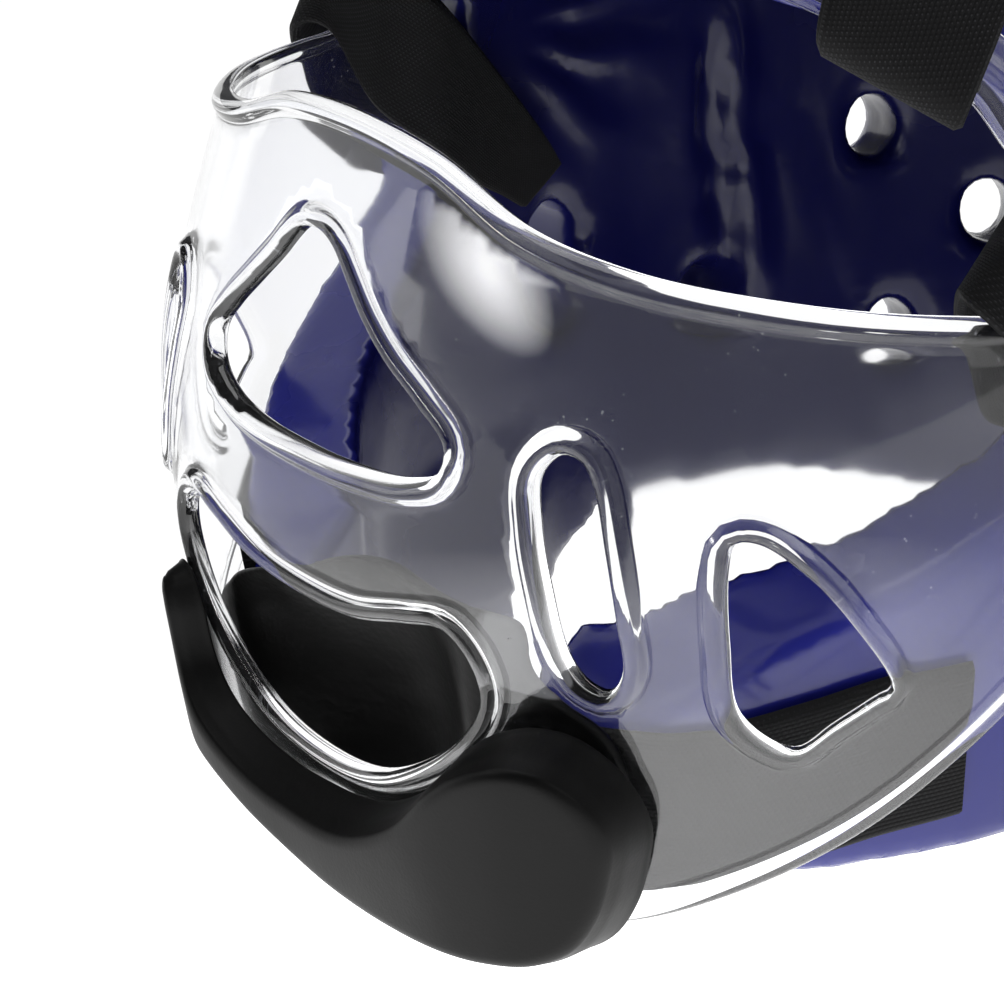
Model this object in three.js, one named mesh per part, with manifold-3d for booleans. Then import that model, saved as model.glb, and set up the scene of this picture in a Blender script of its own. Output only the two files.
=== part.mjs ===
// Sparring headgear with a clear face shield: a thick dipped foam shell, a clear shield with beaded
// openings, a chin bumper outside the shield, a chin cup inside it, and elastic straps.
// Millimetres. +Z is up, the face looks along -Y, the wearer's left is +X, the part stands on Z = 0.
import * as THREE from "three";
import { mergeVertices } from "three/addons/utils/BufferGeometryUtils.js";
import Module from "manifold-3d";

const wasm = await Module();
wasm.setup();

const GAP = 0.3; // clearance that touching pieces keep
const MARGIN = 6; // how far a cutter passes a sheet's faces

// Clear shield: horizontal superellipse sections about a centre behind the face.
const SHIELD = { centreY: 40, sheet: 3, columns: 22, rows: 8 };
// Beads round the openings and along the rim, with their foot inside the sheet.
const BEAD = { width: 5, height: 1.7, foot: 1.2 };
const RIM = { width: 4.4, height: 1.6, inset: 2.6, samples: 44 };
// Reach is the distance from Y = 0 forward to the shield, halfWidth its half width at centreY.
const SHIELD_SECTIONS = [
  { z: -30, reach: 108, halfWidth: 97, power: 2.8 },
  { z: 0, reach: 114.5, halfWidth: 99.5, power: 2.8 },
  { z: 30, reach: 120, halfWidth: 102, power: 2.8 },
  { z: 60, reach: 123, halfWidth: 104.5, power: 2.8 },
  { z: 90, reach: 119, halfWidth: 104, power: 2.8 },
  { z: 120, reach: 111.5, halfWidth: 100, power: 2.62 },
  { z: 150, reach: 107, halfWidth: 94.5, power: 2.6 },
  { z: 180, reach: 102, halfWidth: 90.5, power: 2.6 },
  { z: 210, reach: 97, halfWidth: 86.5, power: 2.6 },
];
// Outline of the shield by the angle round its centre, 0 at the nose.
const SHIELD_OUTLINE = [
  { turn: 0, low: 3.5, high: 191 },
  { turn: 12, low: 4.5, high: 189 },
  { turn: 22, low: 7.5, high: 185 },
  { turn: 30, low: 16, high: 177 },
  { turn: 38, low: 28, high: 165 },
  { turn: 46, low: 45, high: 150 },
  { turn: 54, low: 66, high: 136 },
  { turn: 60, low: 84, high: 125 },
  { turn: 62.5, low: 93, high: 118 },
  { turn: 63.5, low: 99, high: 112 },
];
// Eye opening: lower rim with the nose bridge in the middle, upper rim under the forehead bar.
const EYE_OUTLINE = [
  { turn: 0, low: 133, high: 178 },
  { turn: 8, low: 131, high: 177 },
  { turn: 15, low: 124, high: 175 },
  { turn: 22, low: 120, high: 170.5 },
  { turn: 30, low: 117, high: 161.5 },
  { turn: 36, low: 114.8, high: 154.5 },
  { turn: 41.2, low: 113.2, high: 145.8 },
  { turn: 44, low: 112.5, high: 137.5 },
  { turn: 47, low: 112.8, high: 131.5 },
  { turn: 49.5, low: 116, high: 122 },
];
const EYE = { samples: 42, columns: 22 };
// Closed openings, as turn and height round their edge. The paired ones are mirrored.
const NOSE_EDGE = [
  { turn: -2, z: 112 }, { turn: -0.4, z: 110.4 }, { turn: 1.2, z: 106.8 }, { turn: 3.3, z: 101.8 },
  { turn: 6, z: 96.8 }, { turn: 9.3, z: 92 }, { turn: 11.6, z: 87.4 }, { turn: 11.3, z: 83 },
  { turn: 9.3, z: 80.4 }, { turn: 4.5, z: 78.5 }, { turn: 0, z: 77.8 }, { turn: -4.8, z: 78 },
  { turn: -8.4, z: 79.6 }, { turn: -10.7, z: 83 }, { turn: -11.2, z: 87.5 }, { turn: -10, z: 92.5 },
  { turn: -8, z: 98.5 }, { turn: -6, z: 104.5 }, { turn: -4.7, z: 109 }, { turn: -3.7, z: 111.4 },
];
const MOUTH_EDGE = [
  { turn: 0, z: 51 }, { turn: 5, z: 52 }, { turn: 9.5, z: 55.5 }, { turn: 12.6, z: 57 },
  { turn: 14.3, z: 53 }, { turn: 14.9, z: 47 }, { turn: 13.2, z: 38 }, { turn: 9.7, z: 29.5 },
  { turn: 5.2, z: 23 }, { turn: 0, z: 21 }, { turn: -5.2, z: 23 }, { turn: -9.7, z: 29.5 },
  { turn: -13.2, z: 38 }, { turn: -14.9, z: 47 }, { turn: -14.3, z: 53 }, { turn: -12.6, z: 57 },
  { turn: -9.5, z: 55.5 }, { turn: -5, z: 52 },
];
const SLOT_EDGE = [
  { turn: 19.4, z: 91 }, { turn: 18.2, z: 87 }, { turn: 18.5, z: 79 }, { turn: 19.4, z: 69 },
  { turn: 20.6, z: 58 }, { turn: 21.7, z: 54 }, { turn: 22.9, z: 53 }, { turn: 23.7, z: 56.5 },
  { turn: 23.3, z: 66 }, { turn: 22.5, z: 77 }, { turn: 21.5, z: 87 }, { turn: 20.6, z: 90.5 },
];
const CHEEK_EDGE = [
  { turn: 29.3, z: 75 }, { turn: 29.6, z: 79.5 }, { turn: 31, z: 79.5 }, { turn: 33.7, z: 74 },
  { turn: 36, z: 66.5 }, { turn: 38.6, z: 53.5 }, { turn: 37.7, z: 52 }, { turn: 35.2, z: 47.5 },
  { turn: 33.2, z: 43.5 }, { turn: 31.8, z: 45 }, { turn: 30, z: 50.5 }, { turn: 29.5, z: 62 },
];
const OPENINGS = [
  { edge: NOSE_EDGE, samples: 18, paired: false },
  { edge: MOUTH_EDGE, samples: 20, paired: false },
  { edge: SLOT_EDGE, samples: 12, paired: true },
  { edge: CHEEK_EDGE, samples: 14, paired: true },
];

// Foam shell: superellipse sections about X = Y = 0 up to the brow, and a dome above it.
const FOAM = { thick: 19, domeStart: 160, height: 280, domePower: 2.3, columns: 40, wallRows: 6, domeRows: 6 };
const FOAM_SECTIONS = [
  { z: 0, halfWidth: 84, front: 108, back: 112, power: 2.5 },
  { z: 40, halfWidth: 90, front: 111, back: 118, power: 2.5 },
  { z: 80, halfWidth: 92.5, front: 108, back: 124, power: 2.4 },
  { z: 120, halfWidth: 92, front: 98, back: 126, power: 2.15 },
  { z: 160, halfWidth: 89, front: 91, back: 124, power: 2 },
];
// Lower edge of the shell by the angle round the head, 0 at the chin and 180 at the nape, on each side.
const NECK_EDGE = {
  left: [
    { turn: 0, z: 13 }, { turn: 40, z: 12.5 }, { turn: 70, z: 13 }, { turn: 95, z: 11 }, { turn: 118, z: 9 },
    { turn: 132, z: 5 }, { turn: 144, z: 0.6 }, { turn: 150, z: 0 }, { turn: 180, z: 0 },
  ],
  right: [
    { turn: 0, z: 0 }, { turn: 70, z: 0 }, { turn: 88, z: 11 }, { turn: 118, z: 9 },
    { turn: 132, z: 5 }, { turn: 144, z: 0.6 }, { turn: 150, z: 0 }, { turn: 180, z: 0 },
  ],
};
// Face opening seen from the side, as Y and Z: brow, temple, and the upper edge of the jaw flap.
const FACE_EDGE = [
  { side: 1, edge: [
    [-112, 177], [-96, 169], [-81, 162], [-68, 157], [-54, 151], [-40, 140], [-27, 124], [-22, 108],
    [-24, 95], [-33, 83], [-46, 75], [-57, 69], [-67, 64], [-74, 60], [-80, 56.5], [-87, 50],
    [-95, 43], [-112, 26],
  ] },
  { side: -1, edge: [
    [-112, 177], [-96, 169], [-81, 162], [-70, 157], [-60, 151], [-50, 140], [-42, 124], [-38, 108],
    [-39, 94], [-44, 82], [-52, 74], [-60, 68.5], [-67, 64], [-74, 60], [-80, 56.5], [-87, 50],
    [-95, 43], [-112, 26],
  ] },
];
const JAW_GAP = { halfWidth: 31, back: -60, top: 80 };
const CUTTER = { near: 40, far: 140, sides: 14, reach: 200, halfWidth: 120, overlap: 0.5 };
// Ear hole, at a turn round the head, and the bulge of the shell round the ear.
const EAR = { turn: 81, z: 61, halfLength: 8, halfHeight: 13 };
const EAR_BULGE = { height: 8, y: 14, z: 60, spreadY: 26, spreadZ: 32 };
const VENT_RADIUS = 6.5;
const VENTS = [
  { turn: 131, z: 75 }, { turn: 147, z: 58 }, { turn: 134, z: 32 }, { turn: 104, z: 42 },
];

// Chin bumper outside the shield, two raised lobes either side of the mouth opening. It sits a little
// askew. Thick is the height of its front over the shield, rounded off by a share of it at the edge.
const BUMPER = { inset: 2.1, columns: 24, rows: 7, roundShare: 0.3 };
const BUMPER_OUTLINE = [
  { turn: -21.5, low: 18, high: 25, thick: 3.6 },
  { turn: -20, low: 14, high: 29.5, thick: 4 },
  { turn: -17.5, low: 11.4, high: 35, thick: 4.8 },
  { turn: -14.4, low: 10, high: 41, thick: 7 },
  { turn: -12.8, low: 9.3, high: 39, thick: 8.5 },
  { turn: -11.3, low: 8.5, high: 22.5, thick: 9.7 },
  { turn: -8.5, low: 7, high: 17, thick: 10.6 },
  { turn: -5, low: 4.2, high: 14.6, thick: 11.2 },
  { turn: 0, low: 1.8, high: 14, thick: 12.2 },
  { turn: 4, low: 0, high: 15.4, thick: 13.3 },
  { turn: 11, low: 0, high: 24, thick: 15.2 },
  { turn: 15, low: 0, high: 38, thick: 16.2 },
  { turn: 17, low: 0.8, high: 44.2, thick: 16.1 },
  { turn: 20, low: 2.8, high: 48, thick: 15.5 },
  { turn: 22.6, low: 7.5, high: 45.5, thick: 14.4 },
  { turn: 24.3, low: 15.5, high: 39, thick: 13.2 },
  { turn: 25.3, low: 24, high: 30, thick: 12.2 },
];
// Chin cup behind the mouth opening, dished away from the shield. It sits a little askew too.
const CUP = { front: 4.5, thick: 2.6, dish: 19, dishTurn: 12.8, columns: 20, rows: 7 };
const CUP_OUTLINE = [
  { turn: -21, low: 12, high: 20 },
  { turn: -19, low: 9.5, high: 27 },
  { turn: -14.3, low: 6, high: 36.5 },
  { turn: -8.6, low: 4, high: 45.5 },
  { turn: -2.5, low: 2.7, high: 52.5 },
  { turn: 3.5, low: 2.6, high: 60.3 },
  { turn: 6.4, low: 3, high: 61.8 },
  { turn: 12, low: 4, high: 60 },
  { turn: 16.4, low: 6.8, high: 59.8 },
  { turn: 17.4, low: 7.6, high: 52 },
  { turn: 21, low: 14, high: 44.5 },
  { turn: 22.6, low: 24, high: 38 },
];

const STRAP_THICK = 2.2;
// Chin strap: with the chin cup it makes one loop under the chin. Each half lies on a jaw flap.
const CHIN_STRAP_COLUMNS = 18;
const CHIN_STRAP = [
  { turn: 24.2, low: 8, high: 41.5 }, { turn: 28, low: 9, high: 41.3 }, { turn: 32, low: 10.5, high: 41.3 },
  { turn: 38, low: 13, high: 43.5 }, { turn: 44, low: 16.5, high: 47 }, { turn: 52, low: 20.5, high: 51 },
  { turn: 59, low: 22, high: 52 },
];
// Temple straps: low edge and high edge, from the outer end round the fold to the inner end.
const TEMPLE_STRAP_LEFT = [
  { low: [90.5, 46, 100], high: [90.5, 46, 138] },
  { low: [96.5, 22, 94], high: [96, 22, 132] },
  { low: [104, 0, 87], high: [103, 0, 126] },
  { low: [108, -18, 84], high: [105.5, -20, 123] },
  { low: [106, -32, 86], high: [103.5, -34, 123] },
  { low: [103.5, -41, 92], high: [99, -42, 126] },
  { low: [100, -47, 100], high: [96, -44, 129] },
  { low: [97, -53.5, 108], high: [93, -45, 131] },
  { low: [92, -60.8, 116.5], high: [90, -45, 130] },
  { low: [84.5, -56, 114.4], high: [82.5, -41.5, 127] },
  { low: [75, -47, 104], high: [72.5, -31.5, 121] },
  { low: [68, -38, 95], high: [66.5, -24, 112] },
  { low: [67, -33, 83], high: [66.5, -16, 98] },
  { low: [68, -26, 79], high: [69, -12, 86] },
];
const TEMPLE_STRAP_RIGHT = [
  { low: [90.5, 46, 100], high: [90.5, 46, 138] },
  { low: [96.5, 22, 92], high: [96, 22, 130] },
  { low: [104, 0, 83], high: [103, 0, 124] },
  { low: [108, -18, 77], high: [105.5, -20, 121] },
  { low: [106, -32, 77], high: [103.5, -36, 122] },
  { low: [103, -40, 81], high: [99.5, -46, 124] },
  { low: [101, -46, 89.5], high: [96, -50, 129] },
  { low: [98.5, -52.5, 99.5], high: [93, -50, 133] },
  { low: [92, -59, 113.5], high: [90, -49, 136] },
  { low: [84.5, -56, 114.4], high: [84, -51, 134] },
  { low: [75, -53, 102], high: [73, -50, 129] },
  { low: [66, -45, 94], high: [64, -46, 123.5] },
  { low: [64.5, -38, 87], high: [63.5, -33, 107] },
  { low: [65.5, -31, 82.5], high: [66, -21, 92.5] },
  { low: [66.5, -26, 79], high: [67, -16.5, 86] },
];
// Forehead strap: a loop round the shield's upper bar whose two legs lie on the foam behind it.
// Each row is the strap's two edges, on the foam or on the shield, and how far its middle stands off.
const FOREHEAD_STRAP = [
  { on: "foam", near: [40, 240], far: [58, 228], lift: 5.4 },
  { on: "foam", near: [42, 222], far: [58, 210], lift: 5.4 },
  { on: "foam", near: [43.5, 204], far: [57.5, 192], lift: 5.4 },
  { on: "foam", near: [44.8, 190], far: [57.5, 179], lift: 6 },
  { on: "shield", near: [33.4, 177], far: [45, 170], lift: 5.4 },
  { on: "shield", near: [32.5, 168], far: [43.4, 158], lift: 6 },
  { on: "shield", near: [32, 159.4], far: [41.6, 146.4], lift: 5.6 },
  { on: "shield", near: [31.8, 155.6], far: [41, 142.2], lift: 0.4 },
  { on: "shield", near: [32.1, 158], far: [41.2, 144.4], lift: -5 },
  { on: "shield", near: [33, 170], far: [42.6, 159.5], lift: -4.6 },
  { on: "foam", near: [44.8, 183], far: [57.5, 172], lift: 2.9 },
  { on: "foam", near: [43.5, 206], far: [57.5, 194], lift: 2.6 },
];

const FINISH = {
  foam: { color: 0x1e1e78, roughness: 0.35, metalness: 0 },
  clear: { color: 0xe8ecf2, roughness: 0.06, metalness: 0, transparent: true, opacity: 0.35 },
  rubber: { color: 0x1a1a1a, roughness: 0.5, metalness: 0 },
  vinyl: { color: 0x141414, roughness: 0.55, metalness: 0 },
  elastic: { color: 0x121212, roughness: 0.9, metalness: 0 },
};

const radians = (degrees) => (degrees * Math.PI) / 180;

// A smooth curve through a table's column that never swings past its rows.
function smoothColumn(rows, key, column) {
  const x = rows.map((row) => row[key]);
  const y = rows.map((row) => row[column]);
  const step = x.slice(1).map((value, i) => (y[i + 1] - y[i]) / (value - x[i]));
  const slope = y.map((_, i) => {
    if (i === 0) return step[0];
    if (i === y.length - 1) return step[i - 1];
    if (step[i - 1] * step[i] <= 0) return 0;
    return (2 * step[i - 1] * step[i]) / (step[i - 1] + step[i]);
  });
  return (at) => {
    const inside = Math.min(Math.max(at, x[0]), x[x.length - 1]);
    let i = 0;
    while (i < x.length - 2 && inside > x[i + 1]) i += 1;
    const width = x[i + 1] - x[i];
    const t = (inside - x[i]) / width;
    const rise = y[i] * (1 + 2 * t) * (1 - t) ** 2 + y[i + 1] * t * t * (3 - 2 * t);
    return rise + width * (slope[i] * t * (1 - t) ** 2 - slope[i + 1] * t * t * (1 - t));
  };
}

const shieldReach = smoothColumn(SHIELD_SECTIONS, "z", "reach");
const shieldHalf = smoothColumn(SHIELD_SECTIONS, "z", "halfWidth");
const shieldPower = smoothColumn(SHIELD_SECTIONS, "z", "power");
const foamHalf = smoothColumn(FOAM_SECTIONS, "z", "halfWidth");
const foamFront = smoothColumn(FOAM_SECTIONS, "z", "front");
const foamBack = smoothColumn(FOAM_SECTIONS, "z", "back");
const foamPower = smoothColumn(FOAM_SECTIONS, "z", "power");

// Distance from a section's centre to a superellipse of two half axes, at a turn in degrees.
function superRadius(turn, halfWidth, reach, power) {
  const side = Math.abs(Math.sin(radians(turn))) / halfWidth;
  const ahead = Math.abs(Math.cos(radians(turn))) / reach;
  return (side ** power + ahead ** power) ** (-1 / power);
}

// A point of the shield's outer face, or of a face offset from it.
function onShield(turn, z, offset = 0) {
  const reach = shieldReach(z) + SHIELD.centreY;
  const radius = superRadius(turn, shieldHalf(z), reach, shieldPower(z)) + offset;
  const x = radius * Math.sin(radians(turn));
  return new THREE.Vector3(x, SHIELD.centreY - radius * Math.cos(radians(turn)), z);
}

// A point of the foam shell, depth millimetres under its outer face. Heights past domeStart run up the dome.
function onFoam(turn, z, depth = 0) {
  const lift = Math.max(0, z - FOAM.domeStart) / (FOAM.height - FOAM.domeStart);
  const section = Math.min(z, FOAM.domeStart);
  const ahead = Math.cos(radians(turn)) > 0 ? foamFront(section) : foamBack(section);
  const narrow = (1 - Math.min(lift, 1) ** FOAM.domePower) ** (1 / FOAM.domePower);
  const power = foamPower(section);
  const radius = superRadius(turn, foamHalf(section) - depth, ahead - depth, power) * narrow;
  const rise = (FOAM.height - depth - FOAM.domeStart) * Math.min(lift, 1);
  const y = -radius * Math.cos(radians(turn));
  const away = ((y - EAR_BULGE.y) / EAR_BULGE.spreadY) ** 2 + ((z - EAR_BULGE.z) / EAR_BULGE.spreadZ) ** 2;
  const bulge = EAR_BULGE.height * Math.exp(-away) * (1 - depth / (2 * FOAM.thick));
  const x = (radius + bulge) * Math.sin(radians(turn));
  return new THREE.Vector3(x, y, section + rise);
}

// Merges equal vertices, drops collapsed triangles and turns the faces outwards.
function closedGeometry(points, triangles) {
  const soup = new THREE.BufferGeometry().setFromPoints(points);
  soup.setIndex(triangles.flat());
  const merged = mergeVertices(soup, 1e-4);
  const at = merged.getAttribute("position");
  const index = merged.getIndex().array;
  const kept = [];
  let volume = 0;
  const [a, b, c] = [new THREE.Vector3(), new THREE.Vector3(), new THREE.Vector3()];
  for (let i = 0; i < index.length; i += 3) {
    const [p, q, r] = [index[i], index[i + 1], index[i + 2]];
    if (p === q || q === r || r === p) continue;
    kept.push([p, q, r]);
    volume += a.fromBufferAttribute(at, p).dot(b.fromBufferAttribute(at, q).cross(c.fromBufferAttribute(at, r)));
  }
  merged.setIndex((volume < 0 ? kept.map(([p, q, r]) => [r, q, p]) : kept).flat());
  return merged;
}

// A closed wall between two grids of points. A ring's first and last columns are one.
function wallBetween(outer, inner, ring = false) {
  const columns = outer.length;
  const rows = outer[0].length;
  const points = [...outer.flat(), ...inner.flat()];
  const out = (i, j) => (i % columns) * rows + j;
  const back = (i, j) => columns * rows + out(i, j);
  const triangles = [];
  const quad = (a, b, c, d) => triangles.push([a, b, c], [a, c, d]);
  const last = ring ? columns : columns - 1;
  for (let i = 0; i < last; i += 1) {
    for (let j = 0; j < rows - 1; j += 1) {
      quad(out(i, j), out(i + 1, j), out(i + 1, j + 1), out(i, j + 1));
      quad(back(i, j + 1), back(i + 1, j + 1), back(i + 1, j), back(i, j));
    }
    quad(back(i, 0), back(i + 1, 0), out(i + 1, 0), out(i, 0));
    quad(out(i, rows - 1), out(i + 1, rows - 1), back(i + 1, rows - 1), back(i, rows - 1));
  }
  if (!ring) {
    for (let j = 0; j < rows - 1; j += 1) {
      quad(out(0, j), out(0, j + 1), back(0, j + 1), back(0, j));
      quad(back(last, j), back(last, j + 1), out(last, j + 1), out(last, j));
    }
  }
  return closedGeometry(points, triangles);
}

// Evenly spread numbers from a first to a last.
const spread = (first, last, steps) => Array.from({ length: steps + 1 }, (_, i) => first + ((last - first) * i) / steps);

// Turns from a first to a last that crowd towards both ends.
function sineSpread(first, last, steps) {
  return spread(-1, 1, steps).map((t) => (first + last) / 2 + ((last - first) / 2) * Math.sin((t * Math.PI) / 2));
}

// A table's column by the turn to either side.
function mirroredColumn(rows, column) {
  const at = smoothColumn(rows, "turn", column);
  return (turn) => at(Math.abs(turn));
}

// Fractions from 0 to 1 that crowd towards both ends.
const crowded = (steps) => spread(0, 1, steps).map((t) => 0.5 - 0.5 * Math.cos(Math.PI * t));

// A patch between two heights per turn, wrapped by place(turn, z, level).
function patchGrid(turns, low, high, levels, place) {
  return turns.map((turn) => levels.map((level) => place(turn, low(turn) + (high(turn) - low(turn)) * level, level)));
}

function solidOf(geometry) {
  const mesh = new wasm.Mesh({
    numProp: 3,
    vertProperties: geometry.getAttribute("position").array,
    triVerts: new Uint32Array(geometry.getIndex().array),
  });
  return new wasm.Manifold(mesh);
}

function geometryOf(solid) {
  const mesh = solid.getMesh();
  const geometry = new THREE.BufferGeometry();
  geometry.setAttribute("position", new THREE.BufferAttribute(new Float32Array(mesh.vertProperties), 3));
  geometry.setIndex(Array.from(mesh.triVerts));
  geometry.computeVertexNormals();
  return geometry;
}

// A closed smooth loop through rows of turn and z, sampled evenly. Mirrored turns a pair's other side.
function smoothLoop(rows, samples, mirrored = false) {
  const sign = mirrored ? -1 : 1;
  const knots = rows.map((row) => new THREE.Vector3(sign * row.turn, row.z, 0));
  return new THREE.CatmullRomCurve3(knots, true, "centripetal").getSpacedPoints(samples).slice(0, samples);
}

// A plug through the shield inside a loop, for cutting an opening.
function shieldPlug(loop, margin) {
  const flat = loop.map((p) => new THREE.Vector2(p.x, p.y));
  const outer = loop.map((p) => onShield(p.x, p.y, margin));
  const inner = loop.map((p) => onShield(p.x, p.y, -SHIELD.sheet - margin));
  const count = loop.length;
  const faces = THREE.ShapeUtils.triangulateShape(flat, []);
  const triangles = faces.flatMap(([a, b, c]) => [[a, b, c], [count + c, count + b, count + a]]);
  const turned = THREE.ShapeUtils.isClockWise(flat);
  for (let i = 0; i < count; i += 1) {
    const j = (i + 1) % count;
    const wall = turned ? [[i, j, count + j], [i, count + j, count + i]] : [[j, i, count + i], [j, count + i, count + j]];
    triangles.push(...wall);
  }
  return solidOf(closedGeometry([...outer, ...inner], triangles));
}

// A raised bead that runs round a loop on the shield's outer face.
function shieldBead(loop, width, height) {
  const section = [[-0.5, -BEAD.foot], [-0.32, height], [0.32, height], [0.5, -BEAD.foot]];
  const count = loop.length;
  const points = loop.flatMap((p, i) => {
    const next = loop[(i + 1) % count];
    const before = loop[(i + count - 1) % count];
    const here = onShield(p.x, p.y);
    const along = onShield(next.x, next.y).sub(onShield(before.x, before.y)).normalize();
    const out = onShield(p.x, p.y, 1).sub(here).normalize();
    const across = new THREE.Vector3().crossVectors(along, out).normalize();
    return section.map(([side, lift]) => here.clone().addScaledVector(across, side * width).addScaledVector(out, lift));
  });
  const sides = section.length;
  const triangles = [];
  for (let i = 0; i < count; i += 1) {
    for (let k = 0; k < sides; k += 1) {
      const [a, b] = [i * sides + k, i * sides + ((k + 1) % sides)];
      const [c, d] = [((i + 1) % count) * sides + ((k + 1) % sides), ((i + 1) % count) * sides + k];
      triangles.push([a, b, c], [a, c, d]);
    }
  }
  return solidOf(closedGeometry(points, triangles));
}

// A loop moved sideways on the shield by a distance, outwards from the opening when positive.
function widened(loop, distance) {
  const perTurn = radians(1) * 135; // millimetres along the shield for one degree near the front
  const count = loop.length;
  const area = loop.reduce((sum, p, i) => sum + p.x * loop[(i + 1) % count].y - loop[(i + 1) % count].x * p.y, 0);
  return loop.map((p, i) => {
    const [before, next] = [loop[(i + count - 1) % count], loop[(i + 1) % count]];
    const along = new THREE.Vector2((next.x - before.x) * perTurn, next.y - before.y).normalize();
    const sign = area > 0 ? 1 : -1;
    return new THREE.Vector3(p.x + (sign * along.y * distance) / perTurn, p.y - sign * along.x * distance, 0);
  });
}

// The outline of a table's low and high columns as one closed loop, sampled evenly.
function outlineLoop(rows, samples, inset) {
  const high = rows.map((row) => ({ turn: row.turn, z: row.high }));
  const low = rows.map((row) => ({ turn: row.turn, z: row.low })).reverse();
  const right = [...high, ...low];
  const left = right.slice(1, -1).reverse().map((row) => ({ turn: -row.turn, z: row.z }));
  return widened(smoothLoop([...right, ...left], samples), inset);
}

function faceShield() {
  const low = mirroredColumn(SHIELD_OUTLINE, "low");
  const high = mirroredColumn(SHIELD_OUTLINE, "high");
  const end = SHIELD_OUTLINE[SHIELD_OUTLINE.length - 1].turn;
  const turns = spread(-end, end, SHIELD.columns);
  const levels = spread(0, 1, SHIELD.rows);
  const outer = patchGrid(turns, low, high, levels, (turn, z) => onShield(turn, z));
  const inner = patchGrid(turns, low, high, levels, (turn, z) => onShield(turn, z, -SHIELD.sheet));
  let solid = solidOf(wallBetween(outer, inner));

  const eyeLow = mirroredColumn(EYE_OUTLINE, "low");
  const eyeHigh = mirroredColumn(EYE_OUTLINE, "high");
  const eyeEnd = EYE_OUTLINE[EYE_OUTLINE.length - 1].turn;
  const eyeTurns = sineSpread(-eyeEnd, eyeEnd, EYE.columns);
  const eyeOuter = patchGrid(eyeTurns, eyeLow, eyeHigh, [0, 1], (turn, z) => onShield(turn, z, MARGIN));
  const eyeInner = patchGrid(eyeTurns, eyeLow, eyeHigh, [0, 1], (turn, z) => onShield(turn, z, -SHIELD.sheet - MARGIN));
  const eyeLoop = outlineLoop(EYE_OUTLINE, EYE.samples, BEAD.width / 2);
  solid = solid.add(shieldBead(eyeLoop, BEAD.width, BEAD.height));
  solid = solid.subtract(solidOf(wallBetween(eyeOuter, eyeInner)));

  for (const { edge, samples, paired } of OPENINGS) {
    for (const mirrored of paired ? [false, true] : [false]) {
      const loop = smoothLoop(edge, samples, mirrored);
      solid = solid.add(shieldBead(widened(loop, BEAD.width / 2), BEAD.width, BEAD.height));
      solid = solid.subtract(shieldPlug(loop, MARGIN));
    }
  }
  return solid.add(shieldBead(outlineLoop(SHIELD_OUTLINE, RIM.samples, -RIM.inset), RIM.width, RIM.height));
}

// A three.js shape as a cutter, with only its positions left.
function cutterOf(geometry) {
  geometry.deleteAttribute("normal");
  geometry.deleteAttribute("uv");
  return solidOf(mergeVertices(geometry, 1e-4));
}

// A plug along a radius of the head, for a round or oval hole through the foam.
function foamPlug(turn, z, halfLength, halfHeight) {
  const drill = new THREE.CylinderGeometry(1, 1, CUTTER.far - CUTTER.near, CUTTER.sides);
  drill.scale(halfLength, 1, halfHeight);
  drill.translate(0, -(CUTTER.near + CUTTER.far) / 2, 0);
  drill.rotateZ(radians(turn));
  drill.translate(0, 0, z);
  return cutterOf(drill);
}

function foamShell() {
  const left = smoothColumn(NECK_EDGE.left, "turn", "z");
  const right = smoothColumn(NECK_EDGE.right, "turn", "z");
  const turns = spread(0, 360, FOAM.columns).slice(0, FOAM.columns);
  const wall = spread(0, 1, FOAM.wallRows);
  const dome = spread(0, 1, FOAM.domeRows).slice(1).map((t) => Math.sin((t * Math.PI) / 2) ** 0.9);
  const columnOf = (turn, depth) => {
    const bottom = turn > 180 ? right(360 - turn) : left(turn);
    const heights = wall.map((t) => bottom + (FOAM.domeStart - bottom) * t);
    const tops = dome.map((t) => FOAM.domeStart + (FOAM.height - FOAM.domeStart) * t);
    return [...heights, ...tops].map((z) => onFoam(turn, z, depth));
  };
  const outer = turns.map((turn) => columnOf(turn, 0));
  const inner = turns.map((turn) => columnOf(turn, FOAM.thick));
  let solid = solidOf(wallBetween(outer, inner, true));

  const sideways = new THREE.Matrix4().set(0, 0, 1, 0, 1, 0, 0, 0, 0, 1, 0, 0, 0, 0, 0, 1);
  for (const { side, edge } of FACE_EDGE) {
    const face = new THREE.Shape();
    face.moveTo(-CUTTER.reach, edge[0][1]);
    for (const [y, z] of edge) face.lineTo(y, z);
    face.lineTo(-CUTTER.reach, edge[edge.length - 1][1]);
    const depth = CUTTER.halfWidth + CUTTER.overlap;
    const block = new THREE.ExtrudeGeometry(face, { depth, bevelEnabled: false });
    block.translate(0, 0, side > 0 ? -CUTTER.overlap : -CUTTER.halfWidth);
    solid = solid.subtract(cutterOf(block.applyMatrix4(sideways)));
  }

  const gap = new THREE.BoxGeometry(2 * JAW_GAP.halfWidth, CUTTER.reach, CUTTER.reach);
  gap.translate(0, JAW_GAP.back - CUTTER.reach / 2, JAW_GAP.top - CUTTER.reach / 2);
  solid = solid.subtract(cutterOf(gap));

  for (const side of [1, -1]) {
    solid = solid.subtract(foamPlug(side * EAR.turn, EAR.z, EAR.halfLength, EAR.halfHeight));
    for (const vent of VENTS) solid = solid.subtract(foamPlug(side * vent.turn, vent.z, VENT_RADIUS, VENT_RADIUS));
  }
  return solid;
}

// A pad on the shield between two faces, given as offsets by turn and level.
function shieldPad(outline, settings, faces) {
  const low = smoothColumn(outline, "turn", "low");
  const high = smoothColumn(outline, "turn", "high");
  const turns = sineSpread(outline[0].turn, outline[outline.length - 1].turn, settings.columns);
  const levels = crowded(settings.rows);
  const grid = (side) => patchGrid(turns, low, high, levels, (turn, z, level) => onShield(turn, z, faces(turn, level)[side]));
  return wallBetween(grid(0), grid(1));
}

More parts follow.
